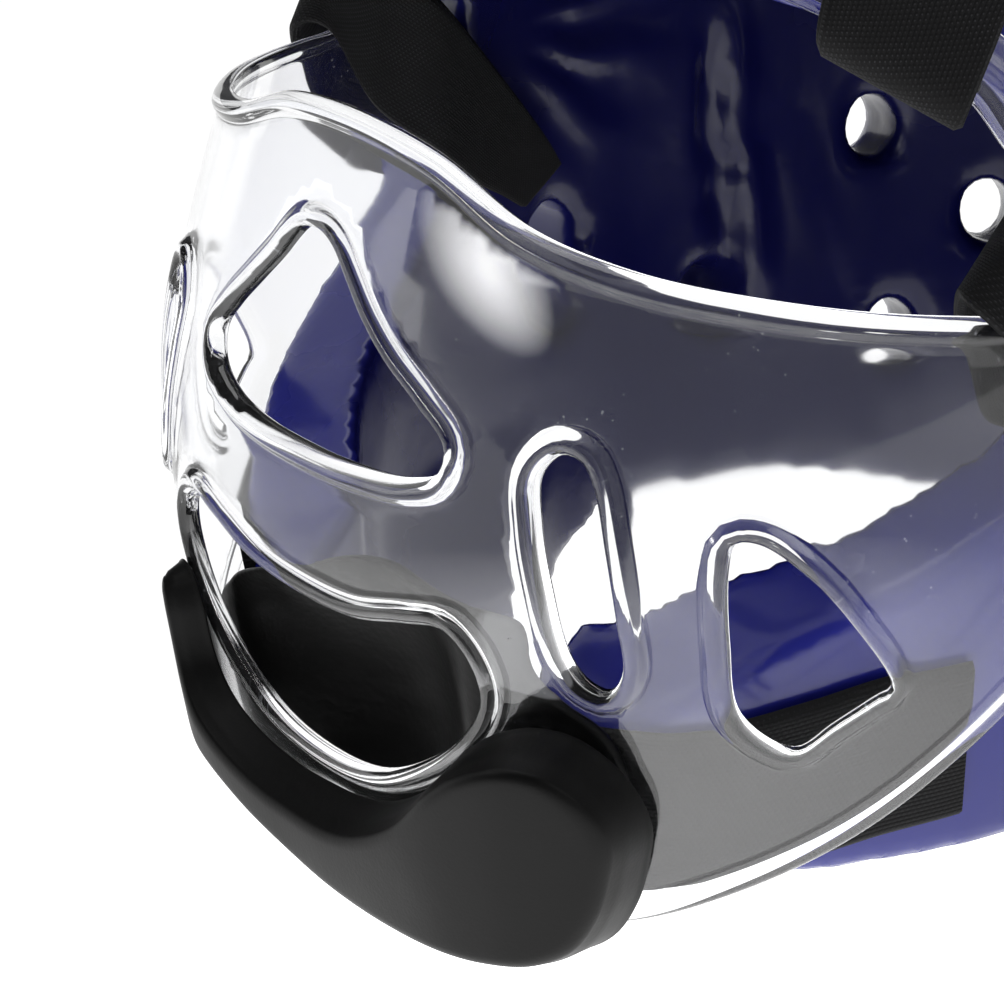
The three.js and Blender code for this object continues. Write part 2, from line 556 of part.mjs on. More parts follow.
function chinBumper() {
  const thick = smoothColumn(BUMPER_OUTLINE, "turn", "thick");
  return shieldPad(BUMPER_OUTLINE, BUMPER, (turn, level) => {
    const round = Math.sqrt(Math.max(0, 1 - Math.abs(2 * level - 1) ** 5));
    const height = (thick(turn) - BUMPER.inset) * (1 - BUMPER.roundShare * (1 - round));
    return [BUMPER.inset + height, BUMPER.inset];
  });
}

// The dish is a smooth hump of depth that fades out towards the cup's edge.
function chinCup() {
  return shieldPad(CUP_OUTLINE, CUP, (turn, level) => {
    const across = Math.max(0, 1 - (turn / CUP.dishTurn) ** 2) ** 1.3;
    const hollow = across * Math.max(0, 1 - Math.abs(2 * level - 0.9) ** 2.4 / 1.3);
    const front = -CUP.front - CUP.dish * hollow;
    return [front, front - CUP.thick];
  });
}

function chinStrap(mirrored) {
  const sign = mirrored ? -1 : 1;
  const low = smoothColumn(CHIN_STRAP, "turn", "low");
  const high = smoothColumn(CHIN_STRAP, "turn", "high");
  const turns = spread(CHIN_STRAP[0].turn, CHIN_STRAP[CHIN_STRAP.length - 1].turn, CHIN_STRAP_COLUMNS);
  const place = (lift) => patchGrid(turns, low, high, [0, 0.5, 1], (turn, z) => onFoam(sign * turn, z, -GAP - lift));
  return wallBetween(place(STRAP_THICK), place(0));
}

// A flat band between two smooth edges, with an even thickness.
function band(nearEdge, farEdge, thick, perSpan) {
  const [near, far] = [nearEdge, farEdge].map((knots) => new THREE.CatmullRomCurve3(knots, false, "centripetal"));
  const rows = spread(0, 1, (nearEdge.length - 1) * perSpan).map((t) => {
    const edges = [near.getPoint(t), far.getPoint(t)];
    const along = near.getTangent(t).add(far.getTangent(t));
    const out = new THREE.Vector3().crossVectors(along, edges[1].clone().sub(edges[0])).normalize();
    return { edges, out };
  });
  const place = (lift) => rows.map(({ edges, out }) => edges.map((edge) => edge.clone().addScaledVector(out, lift)));
  return wallBetween(place(thick / 2), place(-thick / 2));
}

// A temple strap from its side's table.
function templeStrap(mirrored) {
  const rows = mirrored ? TEMPLE_STRAP_RIGHT : TEMPLE_STRAP_LEFT;
  const sign = mirrored ? -1 : 1;
  const edge = (which) => rows.map((row) => new THREE.Vector3(sign * row[which][0], row[which][1], row[which][2]));
  return band(edge("low"), edge("high"), STRAP_THICK, 2);
}

// The forehead strap from its table of edges on the foam and on the shield.
function foreheadStrap(mirrored) {
  const sign = mirrored ? -1 : 1;
  const edge = (which) => FOREHEAD_STRAP.map((row) => {
    const [turn, z] = row[which];
    const point = row.on === "foam" ? onFoam(turn, z, -row.lift) : onShield(turn, z, row.lift);
    return new THREE.Vector3(sign * point.x, point.y, point.z);
  });
  return band(edge("near"), edge("far"), STRAP_THICK, 2);
}

function meshOf(name, geometry, finish) {
  const mesh = new THREE.Mesh(geometry, new THREE.MeshStandardMaterial(finish));
  mesh.name = name;
  return mesh;
}

const group = new THREE.Group();
group.add(meshOf("foam_headgear", geometryOf(foamShell()), FINISH.foam));
group.add(meshOf("face_shield", geometryOf(faceShield()), FINISH.clear));
group.add(meshOf("chin_bumper", chinBumper(), FINISH.rubber));
group.add(meshOf("chin_cup", chinCup(), FINISH.vinyl));
for (const [side, mirrored] of [["left", false], ["right", true]]) {
  group.add(meshOf(`chin_strap_${side}`, chinStrap(mirrored), FINISH.elastic));
  group.add(meshOf(`temple_strap_${side}`, templeStrap(mirrored), FINISH.elastic));
  group.add(meshOf(`forehead_strap_${side}`, foreheadStrap(mirrored), FINISH.elastic));
}

// The origin is under the middle of the whole part.
const box = new THREE.Box3().setFromObject(group);
group.position.set(-(box.min.x + box.max.x) / 2, -(box.min.y + box.max.y) / 2, -box.min.z);

export default group;
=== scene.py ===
# Sparring headgear with a clear face shield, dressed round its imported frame.
# Lengths in the dictionaries are millimetres, turns are degrees round the face, 0 at the nose.
import math

import bmesh
import bpy
import numpy as np
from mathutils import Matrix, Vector
from mathutils.geometry import delaunay_2d_cdt


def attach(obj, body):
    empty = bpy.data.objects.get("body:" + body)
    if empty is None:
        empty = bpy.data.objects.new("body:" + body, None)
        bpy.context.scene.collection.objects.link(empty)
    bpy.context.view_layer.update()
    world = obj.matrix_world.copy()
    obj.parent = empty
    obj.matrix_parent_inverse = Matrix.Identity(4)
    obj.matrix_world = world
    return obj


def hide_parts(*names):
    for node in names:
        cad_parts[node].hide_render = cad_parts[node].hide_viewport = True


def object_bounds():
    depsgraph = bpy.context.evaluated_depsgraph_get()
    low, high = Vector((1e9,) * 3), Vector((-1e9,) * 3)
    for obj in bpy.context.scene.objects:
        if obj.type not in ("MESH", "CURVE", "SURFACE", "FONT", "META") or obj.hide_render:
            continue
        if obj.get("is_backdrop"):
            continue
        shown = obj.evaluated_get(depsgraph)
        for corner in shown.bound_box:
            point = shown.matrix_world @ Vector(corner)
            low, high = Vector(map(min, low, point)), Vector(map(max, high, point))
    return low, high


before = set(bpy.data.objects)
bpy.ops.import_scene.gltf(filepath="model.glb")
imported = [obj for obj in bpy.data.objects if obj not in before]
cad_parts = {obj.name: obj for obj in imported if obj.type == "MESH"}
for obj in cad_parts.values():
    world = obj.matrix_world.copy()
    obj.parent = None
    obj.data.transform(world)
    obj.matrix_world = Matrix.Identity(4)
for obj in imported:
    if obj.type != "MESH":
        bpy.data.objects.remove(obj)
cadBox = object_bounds()
scene = bpy.context.scene

headShift = np.array([0.0, 2.78, 0.0])  # from the head's own centre to the part's origin
mm = 0.001


# Shared shapes

# Monotone cubic through the columns: each slope is the harmonic mean of the steps beside it.
def smoothColumn(xs, ys):
    x = np.array(xs, float)
    y = np.array(ys, float)
    step = np.diff(y) / np.diff(x)
    slope = np.zeros(len(x))
    slope[0], slope[-1] = step[0], step[-1]
    product = step[:-1] * step[1:]
    total = np.where(product > 0, step[:-1] + step[1:], 1.0)
    slope[1:-1] = np.where(product > 0, 2 * product / total, 0.0)

    def curve(at):
        inside = np.clip(at, x[0], x[-1])
        i = np.clip(np.searchsorted(x, inside, side="right") - 1, 0, len(x) - 2)
        width = x[i + 1] - x[i]
        t = (inside - x[i]) / width
        rise = y[i] * (1 + 2 * t) * (1 - t) ** 2 + y[i + 1] * t * t * (3 - 2 * t)
        return rise + width * (slope[i] * t * (1 - t) ** 2 - slope[i + 1] * t * t * (1 - t))

    return curve


# One column of a table, as a curve over its first column.
def column(rows, index):
    return smoothColumn([row[0] for row in rows], [row[index] for row in rows])


# One column of a table as a natural cubic spline, whose bend changes evenly, so reflections stay smooth.
def splineColumn(rows, which):
    x = np.array([row[0] for row in rows], float)
    y = np.array([row[which] for row in rows], float)
    width = np.diff(x)
    inner = np.arange(1, len(x) - 1)
    system = np.eye(len(x))
    system[inner, inner - 1], system[inner, inner + 1] = width[:-1], width[1:]
    system[inner, inner] = 2 * (width[:-1] + width[1:])
    turning = np.concatenate([[0], 6 * np.diff(np.diff(y) / width), [0]])
    bend = np.linalg.solve(system, turning)

    def curve(at):
        inside = np.clip(at, x[0], x[-1])
        i = np.clip(np.searchsorted(x, inside, side="right") - 1, 0, len(x) - 2)
        past, left, wide = inside - x[i], x[i + 1] - inside, width[i]
        arcs = (bend[i] * left ** 3 + bend[i + 1] * past ** 3) / (6 * wide)
        ends = (y[i] / wide - bend[i] * wide / 6) * left + (y[i + 1] / wide - bend[i + 1] * wide / 6) * past
        return arcs + ends

    return curve


# 0 below low, 1 above high, and a cubic ease between them.
def smoothStep(low, high, value):
    t = np.clip((value - low) / (high - low), 0, 1)
    return t * t * (3 - 2 * t)


# Organic noise from -1 to 1: a sum of sine waves in seeded directions, each warped by the one before.
def ripple(points, size, seed):
    rng = np.random.default_rng(seed)
    total = np.zeros(len(points))
    bend = np.zeros(len(points))
    waves = 7
    for _ in range(waves):
        direction = rng.normal(size=3)
        direction /= np.linalg.norm(direction)
        pace = rng.uniform(0.7, 1.6) * 2 * math.pi / size
        bend = np.sin(points @ direction * pace + rng.uniform(0, 6.3) + 1.3 * bend)
        total += bend
    return total / waves


# Distance to a superellipse with those two half axes, in the direction turn.
def superRadius(turn, halfWidth, ahead, power):
    side = np.abs(np.sin(np.radians(turn))) / halfWidth
    front = np.abs(np.cos(np.radians(turn))) / ahead
    return (side ** power + front ** power) ** (-1 / power)


shieldShape = {
    "centreY": 40,
    "thick": 2.3,
    "sections": [  # z, reach in front of Y = 0, half width at centreY, power of the superellipse
        (-30, 108, 97, 2.8), (0, 114.5, 99.5, 2.8), (30, 120, 102, 2.8), (60, 123, 104.5, 2.8),
        (90, 119, 104, 2.8), (120, 112.3, 100, 2.66), (150, 107, 94.5, 2.6), (180, 102, 90.5, 2.6),
        (210, 97, 86.5, 2.6),
    ],
}
shieldReach = splineColumn(shieldShape["sections"], 1)
shieldHalf = splineColumn(shieldShape["sections"], 2)
shieldPower = splineColumn(shieldShape["sections"], 3)

foamShape = {
    "thick": 19,
    "domeStart": 160,
    "height": 280,
    "domePower": 2.3,
    "sections": [  # z, half width, front, back, power of the superellipse
        (0, 84, 108, 112, 2.5), (40, 90, 111, 118, 2.5), (80, 92.5, 108, 124, 2.4),
        (120, 92, 98, 126, 2.15), (160, 89, 91, 124, 2.0),
    ],
    "neckEdge": {  # turn, z on the wearer's left and right
        "left": [(0, 13), (40, 12.5), (70, 13), (95, 11), (118, 9), (132, 5), (144, 0.6), (150, 0), (180, 0)],
        "right": [(0, 0), (70, 0), (88, 11), (118, 9), (132, 5), (144, 0.6), (150, 0), (180, 0)],
    },
    "earBulge": {"height": 8, "y": 14, "z": 60, "spreadY": 26, "spreadZ": 32},
}
foamHalf, foamFront, foamBack, foamPower = (column(foamShape["sections"], k) for k in (1, 2, 3, 4))


# A point offset from the shield's outer face: a superellipse round the centre at every height.
def onShield(turn, z, offset=0.0):
    reach = shieldReach(z) + shieldShape["centreY"]
    radius = superRadius(turn, shieldHalf(z), reach, shieldPower(z)) + offset
    angle = np.radians(turn)
    x = radius * np.sin(angle)
    y = shieldShape["centreY"] - radius * np.cos(angle)
    return np.stack(np.broadcast_arrays(x, y, z), -1).astype(float)


# A point of the foam, depth under its outer face: superellipses up to the brow, a dome above.
def onFoam(turn, z, depth=0.0):
    start, height = foamShape["domeStart"], foamShape["height"]
    lift = np.clip((z - start) / (height - start), 0, 1)
    section = np.minimum(z, start)
    angle = np.radians(turn)
    ahead = np.where(np.cos(angle) > 0, foamFront(section), foamBack(section))
    narrow = (1 - lift ** foamShape["domePower"]) ** (1 / foamShape["domePower"])
    radius = superRadius(turn, foamHalf(section) - depth, ahead - depth, foamPower(section)) * narrow
    y = -radius * np.cos(angle)
    ear = foamShape["earBulge"]
    away = ((y - ear["y"]) / ear["spreadY"]) ** 2 + ((z - ear["z"]) / ear["spreadZ"]) ** 2
    bulge = ear["height"] * np.exp(-away) * (1 - depth / (2 * foamShape["thick"]))
    x = (radius + bulge) * np.sin(angle)
    up = section + (height - depth - start) * lift
    return np.stack(np.broadcast_arrays(x, y, up), -1).astype(float)


# The shield's flat pattern: distance along it from the nose, at one height, against the turn
patternHeight = 75
patternTurns = np.linspace(-80, 80, 1601)
patternPath = onShield(patternTurns, np.full(1601, float(patternHeight)))
patternLength = np.concatenate([[0], np.cumsum(np.linalg.norm(np.diff(patternPath, axis=0), axis=1))])
patternLength -= patternLength[800]


def flatFromTurn(turn):
    return np.interp(turn, patternTurns, patternLength)


def turnFromFlat(flat):
    return np.interp(flat, patternLength, patternTurns)


# Mesh tools

def addObject(name, mesh, material):
    piece = bpy.data.objects.new(name, mesh)
    scene.collection.objects.link(piece)
    mesh.materials.clear()
    mesh.materials.append(material)
    return piece


# Puts arrays of points (millimetres from the head's centre) and faces into a smooth closed mesh.
def meshPiece(name, points, faces, material, uv=None, outward=True):
    mesh = bpy.data.meshes.new(name)
    mesh.from_pydata(((points + headShift) * mm).tolist(), [], faces)
    if uv is not None:
        layer = mesh.uv_layers.new(name="UVMap")
        corners = np.empty(len(mesh.loops), dtype=np.int32)
        mesh.loops.foreach_get("vertex_index", corners)
        layer.data.foreach_set("uv", uv[corners].astype(np.float32).ravel())
    work = bmesh.new()
    work.from_mesh(mesh)
    bmesh.ops.remove_doubles(work, verts=work.verts, dist=2e-6)
    if outward:
        bmesh.ops.recalc_face_normals(work, faces=work.faces)
    work.to_mesh(mesh)
    work.free()
    mesh.shade_smooth()
    return addObject(name, mesh, material)


# Quads of a grid whose vertices run row by row inside each column.
def gridFaces(columns, rows, ringColumns=False, ringRows=False, first=0):
    i = np.arange(columns if ringColumns else columns - 1)
    j = np.arange(rows if ringRows else rows - 1)
    a, b = np.meshgrid(i, j, indexing="ij")
    nextA, nextB = (a + 1) % columns, (b + 1) % rows
    quads = np.stack([a * rows + b, nextA * rows + b, nextA * rows + nextB, a * rows + nextB], -1)
    return (quads.reshape(-1, 4) + first).tolist()


# A closed centripetal Catmull-Rom loop through the knots, resampled evenly.
def smoothLoop(knots, spacing):
    p = np.array(knots, float)
    count = len(p)
    p0, p1, p2, p3 = np.roll(p, 1, 0), p, np.roll(p, -1, 0), np.roll(p, -2, 0)
    d1 = np.linalg.norm(p1 - p0, axis=1)[:, None] ** 0.5
    d2 = np.linalg.norm(p2 - p1, axis=1)[:, None] ** 0.5
    d3 = np.linalg.norm(p3 - p2, axis=1)[:, None] ** 0.5
    m1 = p2 - p1 + d2 * ((p1 - p0) / d1 - (p2 - p0) / (d1 + d2))
    m2 = p2 - p1 + d2 * ((p3 - p2) / d3 - (p3 - p1) / (d2 + d3))
    t = np.linspace(0, 1, 24, endpoint=False)[None, :, None]
    a, b, m, n = (v[:, None, :] for v in (p1, p2, m1, m2))
    curve = (2 * t**3 - 3 * t**2 + 1) * a + (t**3 - 2 * t**2 + t) * m
    curve = curve + (3 * t**2 - 2 * t**3) * b + (t**3 - t**2) * n
    curve = curve.reshape(count * 24, -1)
    closed = np.vstack([curve, curve[:1]])
    along = np.concatenate([[0], np.cumsum(np.linalg.norm(np.diff(closed, axis=0), axis=1))])
    samples = np.linspace(0, along[-1], max(12, round(along[-1] / spacing)), endpoint=False)
    return np.stack([np.interp(samples, along, closed[:, k]) for k in range(closed.shape[1])], -1)


# An open Catmull-Rom curve through the knots, at even steps of its parameter.
def smoothPath(knots, count):
    p = np.array(knots, float)
    p = np.vstack([2 * p[0] - p[1], p, 2 * p[-1] - p[-2]])
    t = np.linspace(0, len(knots) - 1, count)
    i = np.clip(t.astype(int), 0, len(knots) - 2)
    f = (t - i)[:, None]
    p0, p1, p2, p3 = p[i], p[i + 1], p[i + 2], p[i + 3]
    bend = (2 * p0 - 5 * p1 + 4 * p2 - p3) * f**2
    return 0.5 * (2 * p1 + (p2 - p0) * f + bend + (3 * p1 - p0 - 3 * p2 + p3) * f**3)


def counterClockwise(loop):
    nxt = np.roll(loop, -1, 0)
    area = np.sum(loop[:, 0] * nxt[:, 1] - nxt[:, 0] * loop[:, 1])
    return loop if area > 0 else loop[::-1]


# A counter-clockwise loop moved along its outward normals.
def movedLoop(loop, distance):
    along = np.roll(loop, -1, 0) - np.roll(loop, 1, 0)
    along /= np.linalg.norm(along, axis=1)[:, None]
    return loop + distance * np.stack([along[:, 1], -along[:, 0]], -1)


# True where a point lies inside a closed polygon: a ray to the right crosses it an odd number of times.
def insideLoop(points, loop):
    x, y = points[:, 0:1], points[:, 1:2]
    ax, ay = loop[:, 0], loop[:, 1]
    bx, by = np.roll(ax, -1), np.roll(ay, -1)
    spans = (ay > y) != (by > y)
    rise = np.where(by == ay, 1e-9, by - ay)
    return (spans & (x < ax + (y - ay) * (bx - ax) / rise)).sum(1) % 2 == 1


# True where a point lies within a distance of a loop's samples.
def nearLoop(points, loop, distance):
    return np.min(np.linalg.norm(points[:, None, :] - loop[None, :, :], axis=2), axis=1) < distance


# Triangles between an outline and its holes, with a hexagonal grid of points inside.
def triangulated(outline, holes, spacing):
    low, high = outline.min(0), outline.max(0)
    rowStep = spacing * math.sqrt(3) / 2
    xs = np.arange(low[0], high[0], spacing)
    ys = np.arange(low[1], high[1], rowStep)
    gx, gy = np.meshgrid(xs, ys)
    gx = gx + (np.arange(len(ys)) % 2)[:, None] * spacing / 2
    grid = np.stack([gx.ravel(), gy.ravel()], -1)
    keep = insideLoop(grid, outline) & ~nearLoop(grid, outline, spacing * 0.6)
    for hole in holes:
        keep &= ~insideLoop(grid, hole) & ~nearLoop(grid, hole, spacing * 0.6)
    points = np.vstack([outline, *holes, grid[keep]])
    edges = []
    start = 0
    for loop in (outline, *holes):
        index = np.arange(len(loop))
        edges += np.stack([index + start, (index + 1) % len(loop) + start], -1).tolist()
        start += len(loop)
    found = delaunay_2d_cdt([Vector(p) for p in points.tolist()], edges, [], 0, 1e-6)
    flat = np.array([tuple(v) for v in found[0]])
    triangles = np.array([face for face in found[2] if len(face) == 3])
    middles = flat[triangles].mean(1)
    wanted = insideLoop(middles, outline)
    for hole in holes:
        wanted &= ~insideLoop(middles, hole)
    return flat, triangles[wanted]


# A closed shell over a flat pattern. Each rim is a loop with a profile of (distance from the rim,
# 1 on the front or 0 on the back, lift), carried round it; the two faces between the rims share one
# triangulation. front, back and place map the pattern into space.
def trimmedSheet(name, outline, holes, spacing, front, back, place, material):
    points, faces, ends = [], [], []
    start = 0
    for index, (loop, profile) in enumerate([outline, *holes]):
        loop = counterClockwise(loop)
        direction = -1 if index == 0 else 1
        rings = []
        for distance, side, lift in profile:
            flat = movedLoop(loop, direction * distance)
            offset = side * front(flat) + (1 - side) * back(flat) + lift
            rings.append(place(flat, offset))
        ends.append(movedLoop(loop, direction * profile[0][0]))
        points.append(np.stack(rings, 1).reshape(-1, 3))
        faces += gridFaces(len(loop), len(profile), ringColumns=True, first=start)
        start += len(loop) * len(profile)
    flat, triangles = triangulated(ends[0], ends[1:], spacing)
    points.append(place(flat, front(flat)))
    faces += (triangles + start).tolist()
    start += len(flat)
    points.append(place(flat, back(flat)))
    faces += (triangles[:, ::-1] + start).tolist()
    return meshPiece(name, np.vstack(points), faces, material)


def shieldPlace(flat, offset):
    return onShield(turnFromFlat(flat[:, 0]), flat[:, 1], offset)


# The closed loop of a table of turn, low and high, mirrored to both sides of the nose.
def tableLoop(rows, spacing):
    right = [(row[0], row[2]) for row in rows] + [(row[0], row[1]) for row in reversed(rows)]
    left = [(-turn, z) for turn, z in reversed(right[1:-1])]
    knots = np.array(right + left)
    return smoothLoop(np.stack([flatFromTurn(knots[:, 0]), knots[:, 1]], -1), spacing)


def edgeLoop(knots, spacing, sign=1):
    points = np.array(knots, float)
    return smoothLoop(np.stack([flatFromTurn(sign * points[:, 0]), points[:, 1]], -1), spacing)


# Shader tools

def nodeOf(tree, kind, **values):
    node = tree.nodes.new(kind)
    for key, value in values.items():
        setattr(node, key, value)
    return node


def newMaterial(name):
    material = bpy.data.materials.new(name)
    material.use_nodes = True
    tree = material.node_tree
    return material, tree, tree.nodes["Principled BSDF"]


def setSockets(node, **values):
    for key, value in values.items():
        node.inputs[key.replace("_", " ")].default_value = value


def mathNode(tree, operation, first, second=None, third=None):
    node = nodeOf(tree, "ShaderNodeMath", operation=operation)
    for index, value in enumerate((first, second, third)):
        if value is None:
            continue
        if isinstance(value, (int, float)):
            node.inputs[index].default_value = value
        else:
            tree.links.new(value, node.inputs[index])
    return node.outputs[0]


def mapRange(tree, value, fromLow, fromHigh, toLow, toHigh):
    node = nodeOf(tree, "ShaderNodeMapRange", clamp=True)
    tree.links.new(value, node.inputs["Value"])
    for key, number in (("From Min", fromLow), ("From Max", fromHigh), ("To Min", toLow), ("To Max", toHigh)):
        node.inputs[key].default_value = number
    return node.outputs["Result"]


def mixColour(tree, factor, first, second):
    node = nodeOf(tree, "ShaderNodeMix", data_type="RGBA")
    tree.links.new(factor, node.inputs["Factor"])
    for socket, value in (("A", first), ("B", second)):
        slot = [s for s in node.inputs if s.name == socket and s.type == "RGBA"][0]
        if isinstance(value, tuple):
            slot.default_value = (*value, 1)
        else:
            tree.links.new(value, slot)
    return [s for s in node.outputs if s.type == "RGBA"][0]


def noiseAt(tree, coordinates, scale, detail=4.0, roughness=0.5, stretch=None):
    if stretch is not None:
        mapping = nodeOf(tree, "ShaderNodeMapping")
        mapping.inputs["Scale"].default_value = stretch
        tree.links.new(coordinates, mapping.inputs["Vector"])
        coordinates = mapping.outputs[0]
    node = nodeOf(tree, "ShaderNodeTexNoise")
    setSockets(node, Scale=scale, Detail=detail, Roughness=roughness)
    tree.links.new(coordinates, node.inputs["Vector"])
    return node.outputs["Fac"]


def bumpFrom(tree, height, strength, distance, normal=None):
    node = nodeOf(tree, "ShaderNodeBump")
    setSockets(node, Strength=strength, Distance=distance)
    tree.links.new(height, node.inputs["Height"])
    if normal is not None:
        tree.links.new(normal, node.inputs["Normal"])
    return node.outputs["Normal"]


def groupWith(name, inputs, outputs):
    group = bpy.data.node_groups.new(name, "ShaderNodeTree")
    for label, kind, value in inputs:
        socket = group.interface.new_socket(label, in_out="INPUT", socket_type=kind)
        if value is not None:
            socket.default_value = value
    for label, kind in outputs:
        group.interface.new_socket(label, in_out="OUTPUT", socket_type=kind)
    return group, group.nodes.new("NodeGroupInput"), group.nodes.new("NodeGroupOutput")


# Dust: tiny round cells of a Voronoi pattern kept only where a second noise allows, plus fine scratches,
# which the clear sheet makes glow as painted highlights.
def specksGroup():
    group, given, out = groupWith(
        "dustAndScratchGlints",
        [("Vector", "NodeSocketVector", None), ("Scale", "NodeSocketFloat", 400.0),
         ("Amount", "NodeSocketFloat", 0.5)],
        [("Specks", "NodeSocketFloat"), ("Scratches", "NodeSocketFloat")],
    )
    cells = nodeOf(group, "ShaderNodeTexVoronoi", feature="F1")
    group.links.new(given.outputs["Vector"], cells.inputs["Vector"])
    group.links.new(given.outputs["Scale"], cells.inputs["Scale"])
    dots = mapRange(group, cells.outputs["Distance"], 0.05, 0.14, 1.0, 0.0)
    patches = mapRange(group, noiseAt(group, given.outputs["Vector"], 38, 3), 0.45, 0.68, 0.0, 1.0)
    chance = nodeOf(group, "ShaderNodeSeparateColor")
    group.links.new(cells.outputs["Color"], chance.inputs[0])
    rare = mathNode(group, "GREATER_THAN", chance.outputs[0], 0.72)
    specks = mathNode(group, "MULTIPLY", mathNode(group, "MULTIPLY", dots, rare), patches)
    group.links.new(mathNode(group, "MULTIPLY", specks, given.outputs["Amount"]), out.inputs["Specks"])
    lines = noiseAt(group, given.outputs["Vector"], 60, 2, 0.4, stretch=(1, 6, 14))
    apart = mathNode(group, "ABSOLUTE", mathNode(group, "SUBTRACT", lines, 0.5))
    thin = mapRange(group, apart, 0.0, 0.006, 1.0, 0.0)
    group.links.new(mathNode(group, "MULTIPLY", thin, patches), out.inputs["Scratches"])
    return group


# Skin grain: small Voronoi pores over a soft noise.
def grainGroup():
    group, given, out = groupWith(
        "skinGrain",
        [("Vector", "NodeSocketVector", None), ("Scale", "NodeSocketFloat", 900.0)],
        [("Height", "NodeSocketFloat"), ("Patches", "NodeSocketFloat")],
    )
    cells = nodeOf(group, "ShaderNodeTexVoronoi", feature="F1")
    group.links.new(given.outputs["Vector"], cells.inputs["Vector"])
    group.links.new(given.outputs["Scale"], cells.inputs["Scale"])
    soft = noiseAt(group, given.outputs["Vector"], 240, 3)
    pebbled = mathNode(group, "MULTIPLY_ADD", cells.outputs["Distance"], 0.5, soft)
    group.links.new(pebbled, out.inputs["Height"])
    group.links.new(noiseAt(group, given.outputs["Vector"], 26, 4), out.inputs["Patches"])
    return group


# Ribbed elastic on a UV map in millimetres: ribs along the strap, broken into rows of short stitches
# that shift from rib to rib, so bright dots, painted highlights on the stitch tops, climb across it.
def weaveGroup():
    group, given, out = groupWith(
        "ribbedElastic",
        [("UV", "NodeSocketVector", None), ("Rib", "NodeSocketFloat", 0.8),
         ("Stitch", "NodeSocketFloat", 1.2)],
        [("Height", "NodeSocketFloat"), ("Dots", "NodeSocketFloat")],
    )
    split = nodeOf(group, "ShaderNodeSeparateXYZ")
    group.links.new(given.outputs["UV"], split.inputs[0])
    across = mathNode(group, "DIVIDE", split.outputs["Y"], given.outputs["Rib"])
    ribNumber = mathNode(group, "FLOOR", across)
    ribPlace = mathNode(group, "SUBTRACT", across, ribNumber)
    along = mathNode(group, "DIVIDE", split.outputs["X"], given.outputs["Stitch"])
    shifted = mathNode(group, "MULTIPLY_ADD", ribNumber, 0.37, along)
    stitchPlace = mathNode(group, "FRACT", shifted)
    ribHump = mathNode(group, "SINE", mathNode(group, "MULTIPLY", ribPlace, math.pi))
    stitchHump = mathNode(group, "SINE", mathNode(group, "MULTIPLY", stitchPlace, math.pi))
    height = mathNode(group, "MULTIPLY", ribHump, mathNode(group, "MULTIPLY_ADD", stitchHump, 0.6, 0.4))
    group.links.new(height, out.inputs["Height"])
    dots = mapRange(group, mathNode(group, "MULTIPLY", ribHump, stitchHump), 0.82, 0.97, 0.0, 1.0)
    group.links.new(dots, out.inputs["Dots"])
    return group


groups = {"specks": specksGroup(), "grain": grainGroup(), "weave": weaveGroup()}


def placeGroup(tree, key, **values):
    node = nodeOf(tree, "ShaderNodeGroup", node_tree=groups[key])
    setSockets(node, **values)
    return node


def objectCoordinates(tree):
    return nodeOf(tree, "ShaderNodeTexCoord").outputs["Object"]


def outputOf(tree):
    return [node for node in tree.nodes if node.type == "OUTPUT_MATERIAL"][0]


def clearMaterial():
    look = {"roughness": (0.02, 0.09), "speckScale": 520, "speckAmount": 0.9, "shadow": 0.8}
    material, tree, shader = newMaterial("clearSheet")
    setSockets(shader, Base_Color=(0.985, 0.99, 1.0, 1), IOR=1.49,
               Transmission_Weight=1.0, Emission_Strength=0.25)
    where = objectCoordinates(tree)
    smudge = noiseAt(tree, where, 30, 5, 0.6)
    rough = mapRange(tree, smudge, 0.35, 0.75, *look["roughness"])
    tree.links.new(rough, shader.inputs["Roughness"])
    dustAndGlints = placeGroup(tree, "specks", Scale=look["speckScale"], Amount=look["speckAmount"])
    tree.links.new(where, dustAndGlints.inputs["Vector"])
    faint = mathNode(tree, "MULTIPLY", dustAndGlints.outputs["Scratches"], 0.3)
    glowingMarks = mathNode(tree, "ADD", dustAndGlints.outputs["Specks"], faint)
    # Painted highlight: the dust specks and scratches are real marks, but they light up through Emission
    # Color instead of catching the lamps.
    tree.links.new(mixColour(tree, glowingMarks, (0, 0, 0), (0.9, 0.92, 1.0)), shader.inputs["Emission Color"])
    clear = nodeOf(tree, "ShaderNodeBsdfTransparent")
    clear.inputs["Color"].default_value = (look["shadow"], look["shadow"], look["shadow"], 1)
    path = nodeOf(tree, "ShaderNodeLightPath")
    mix = nodeOf(tree, "ShaderNodeMixShader")
    tree.links.new(path.outputs["Is Shadow Ray"], mix.inputs[0])
    tree.links.new(shader.outputs[0], mix.inputs[1])
    tree.links.new(clear.outputs[0], mix.inputs[2])
    tree.links.new(mix.outputs[0], outputOf(tree).inputs["Surface"])
    return material


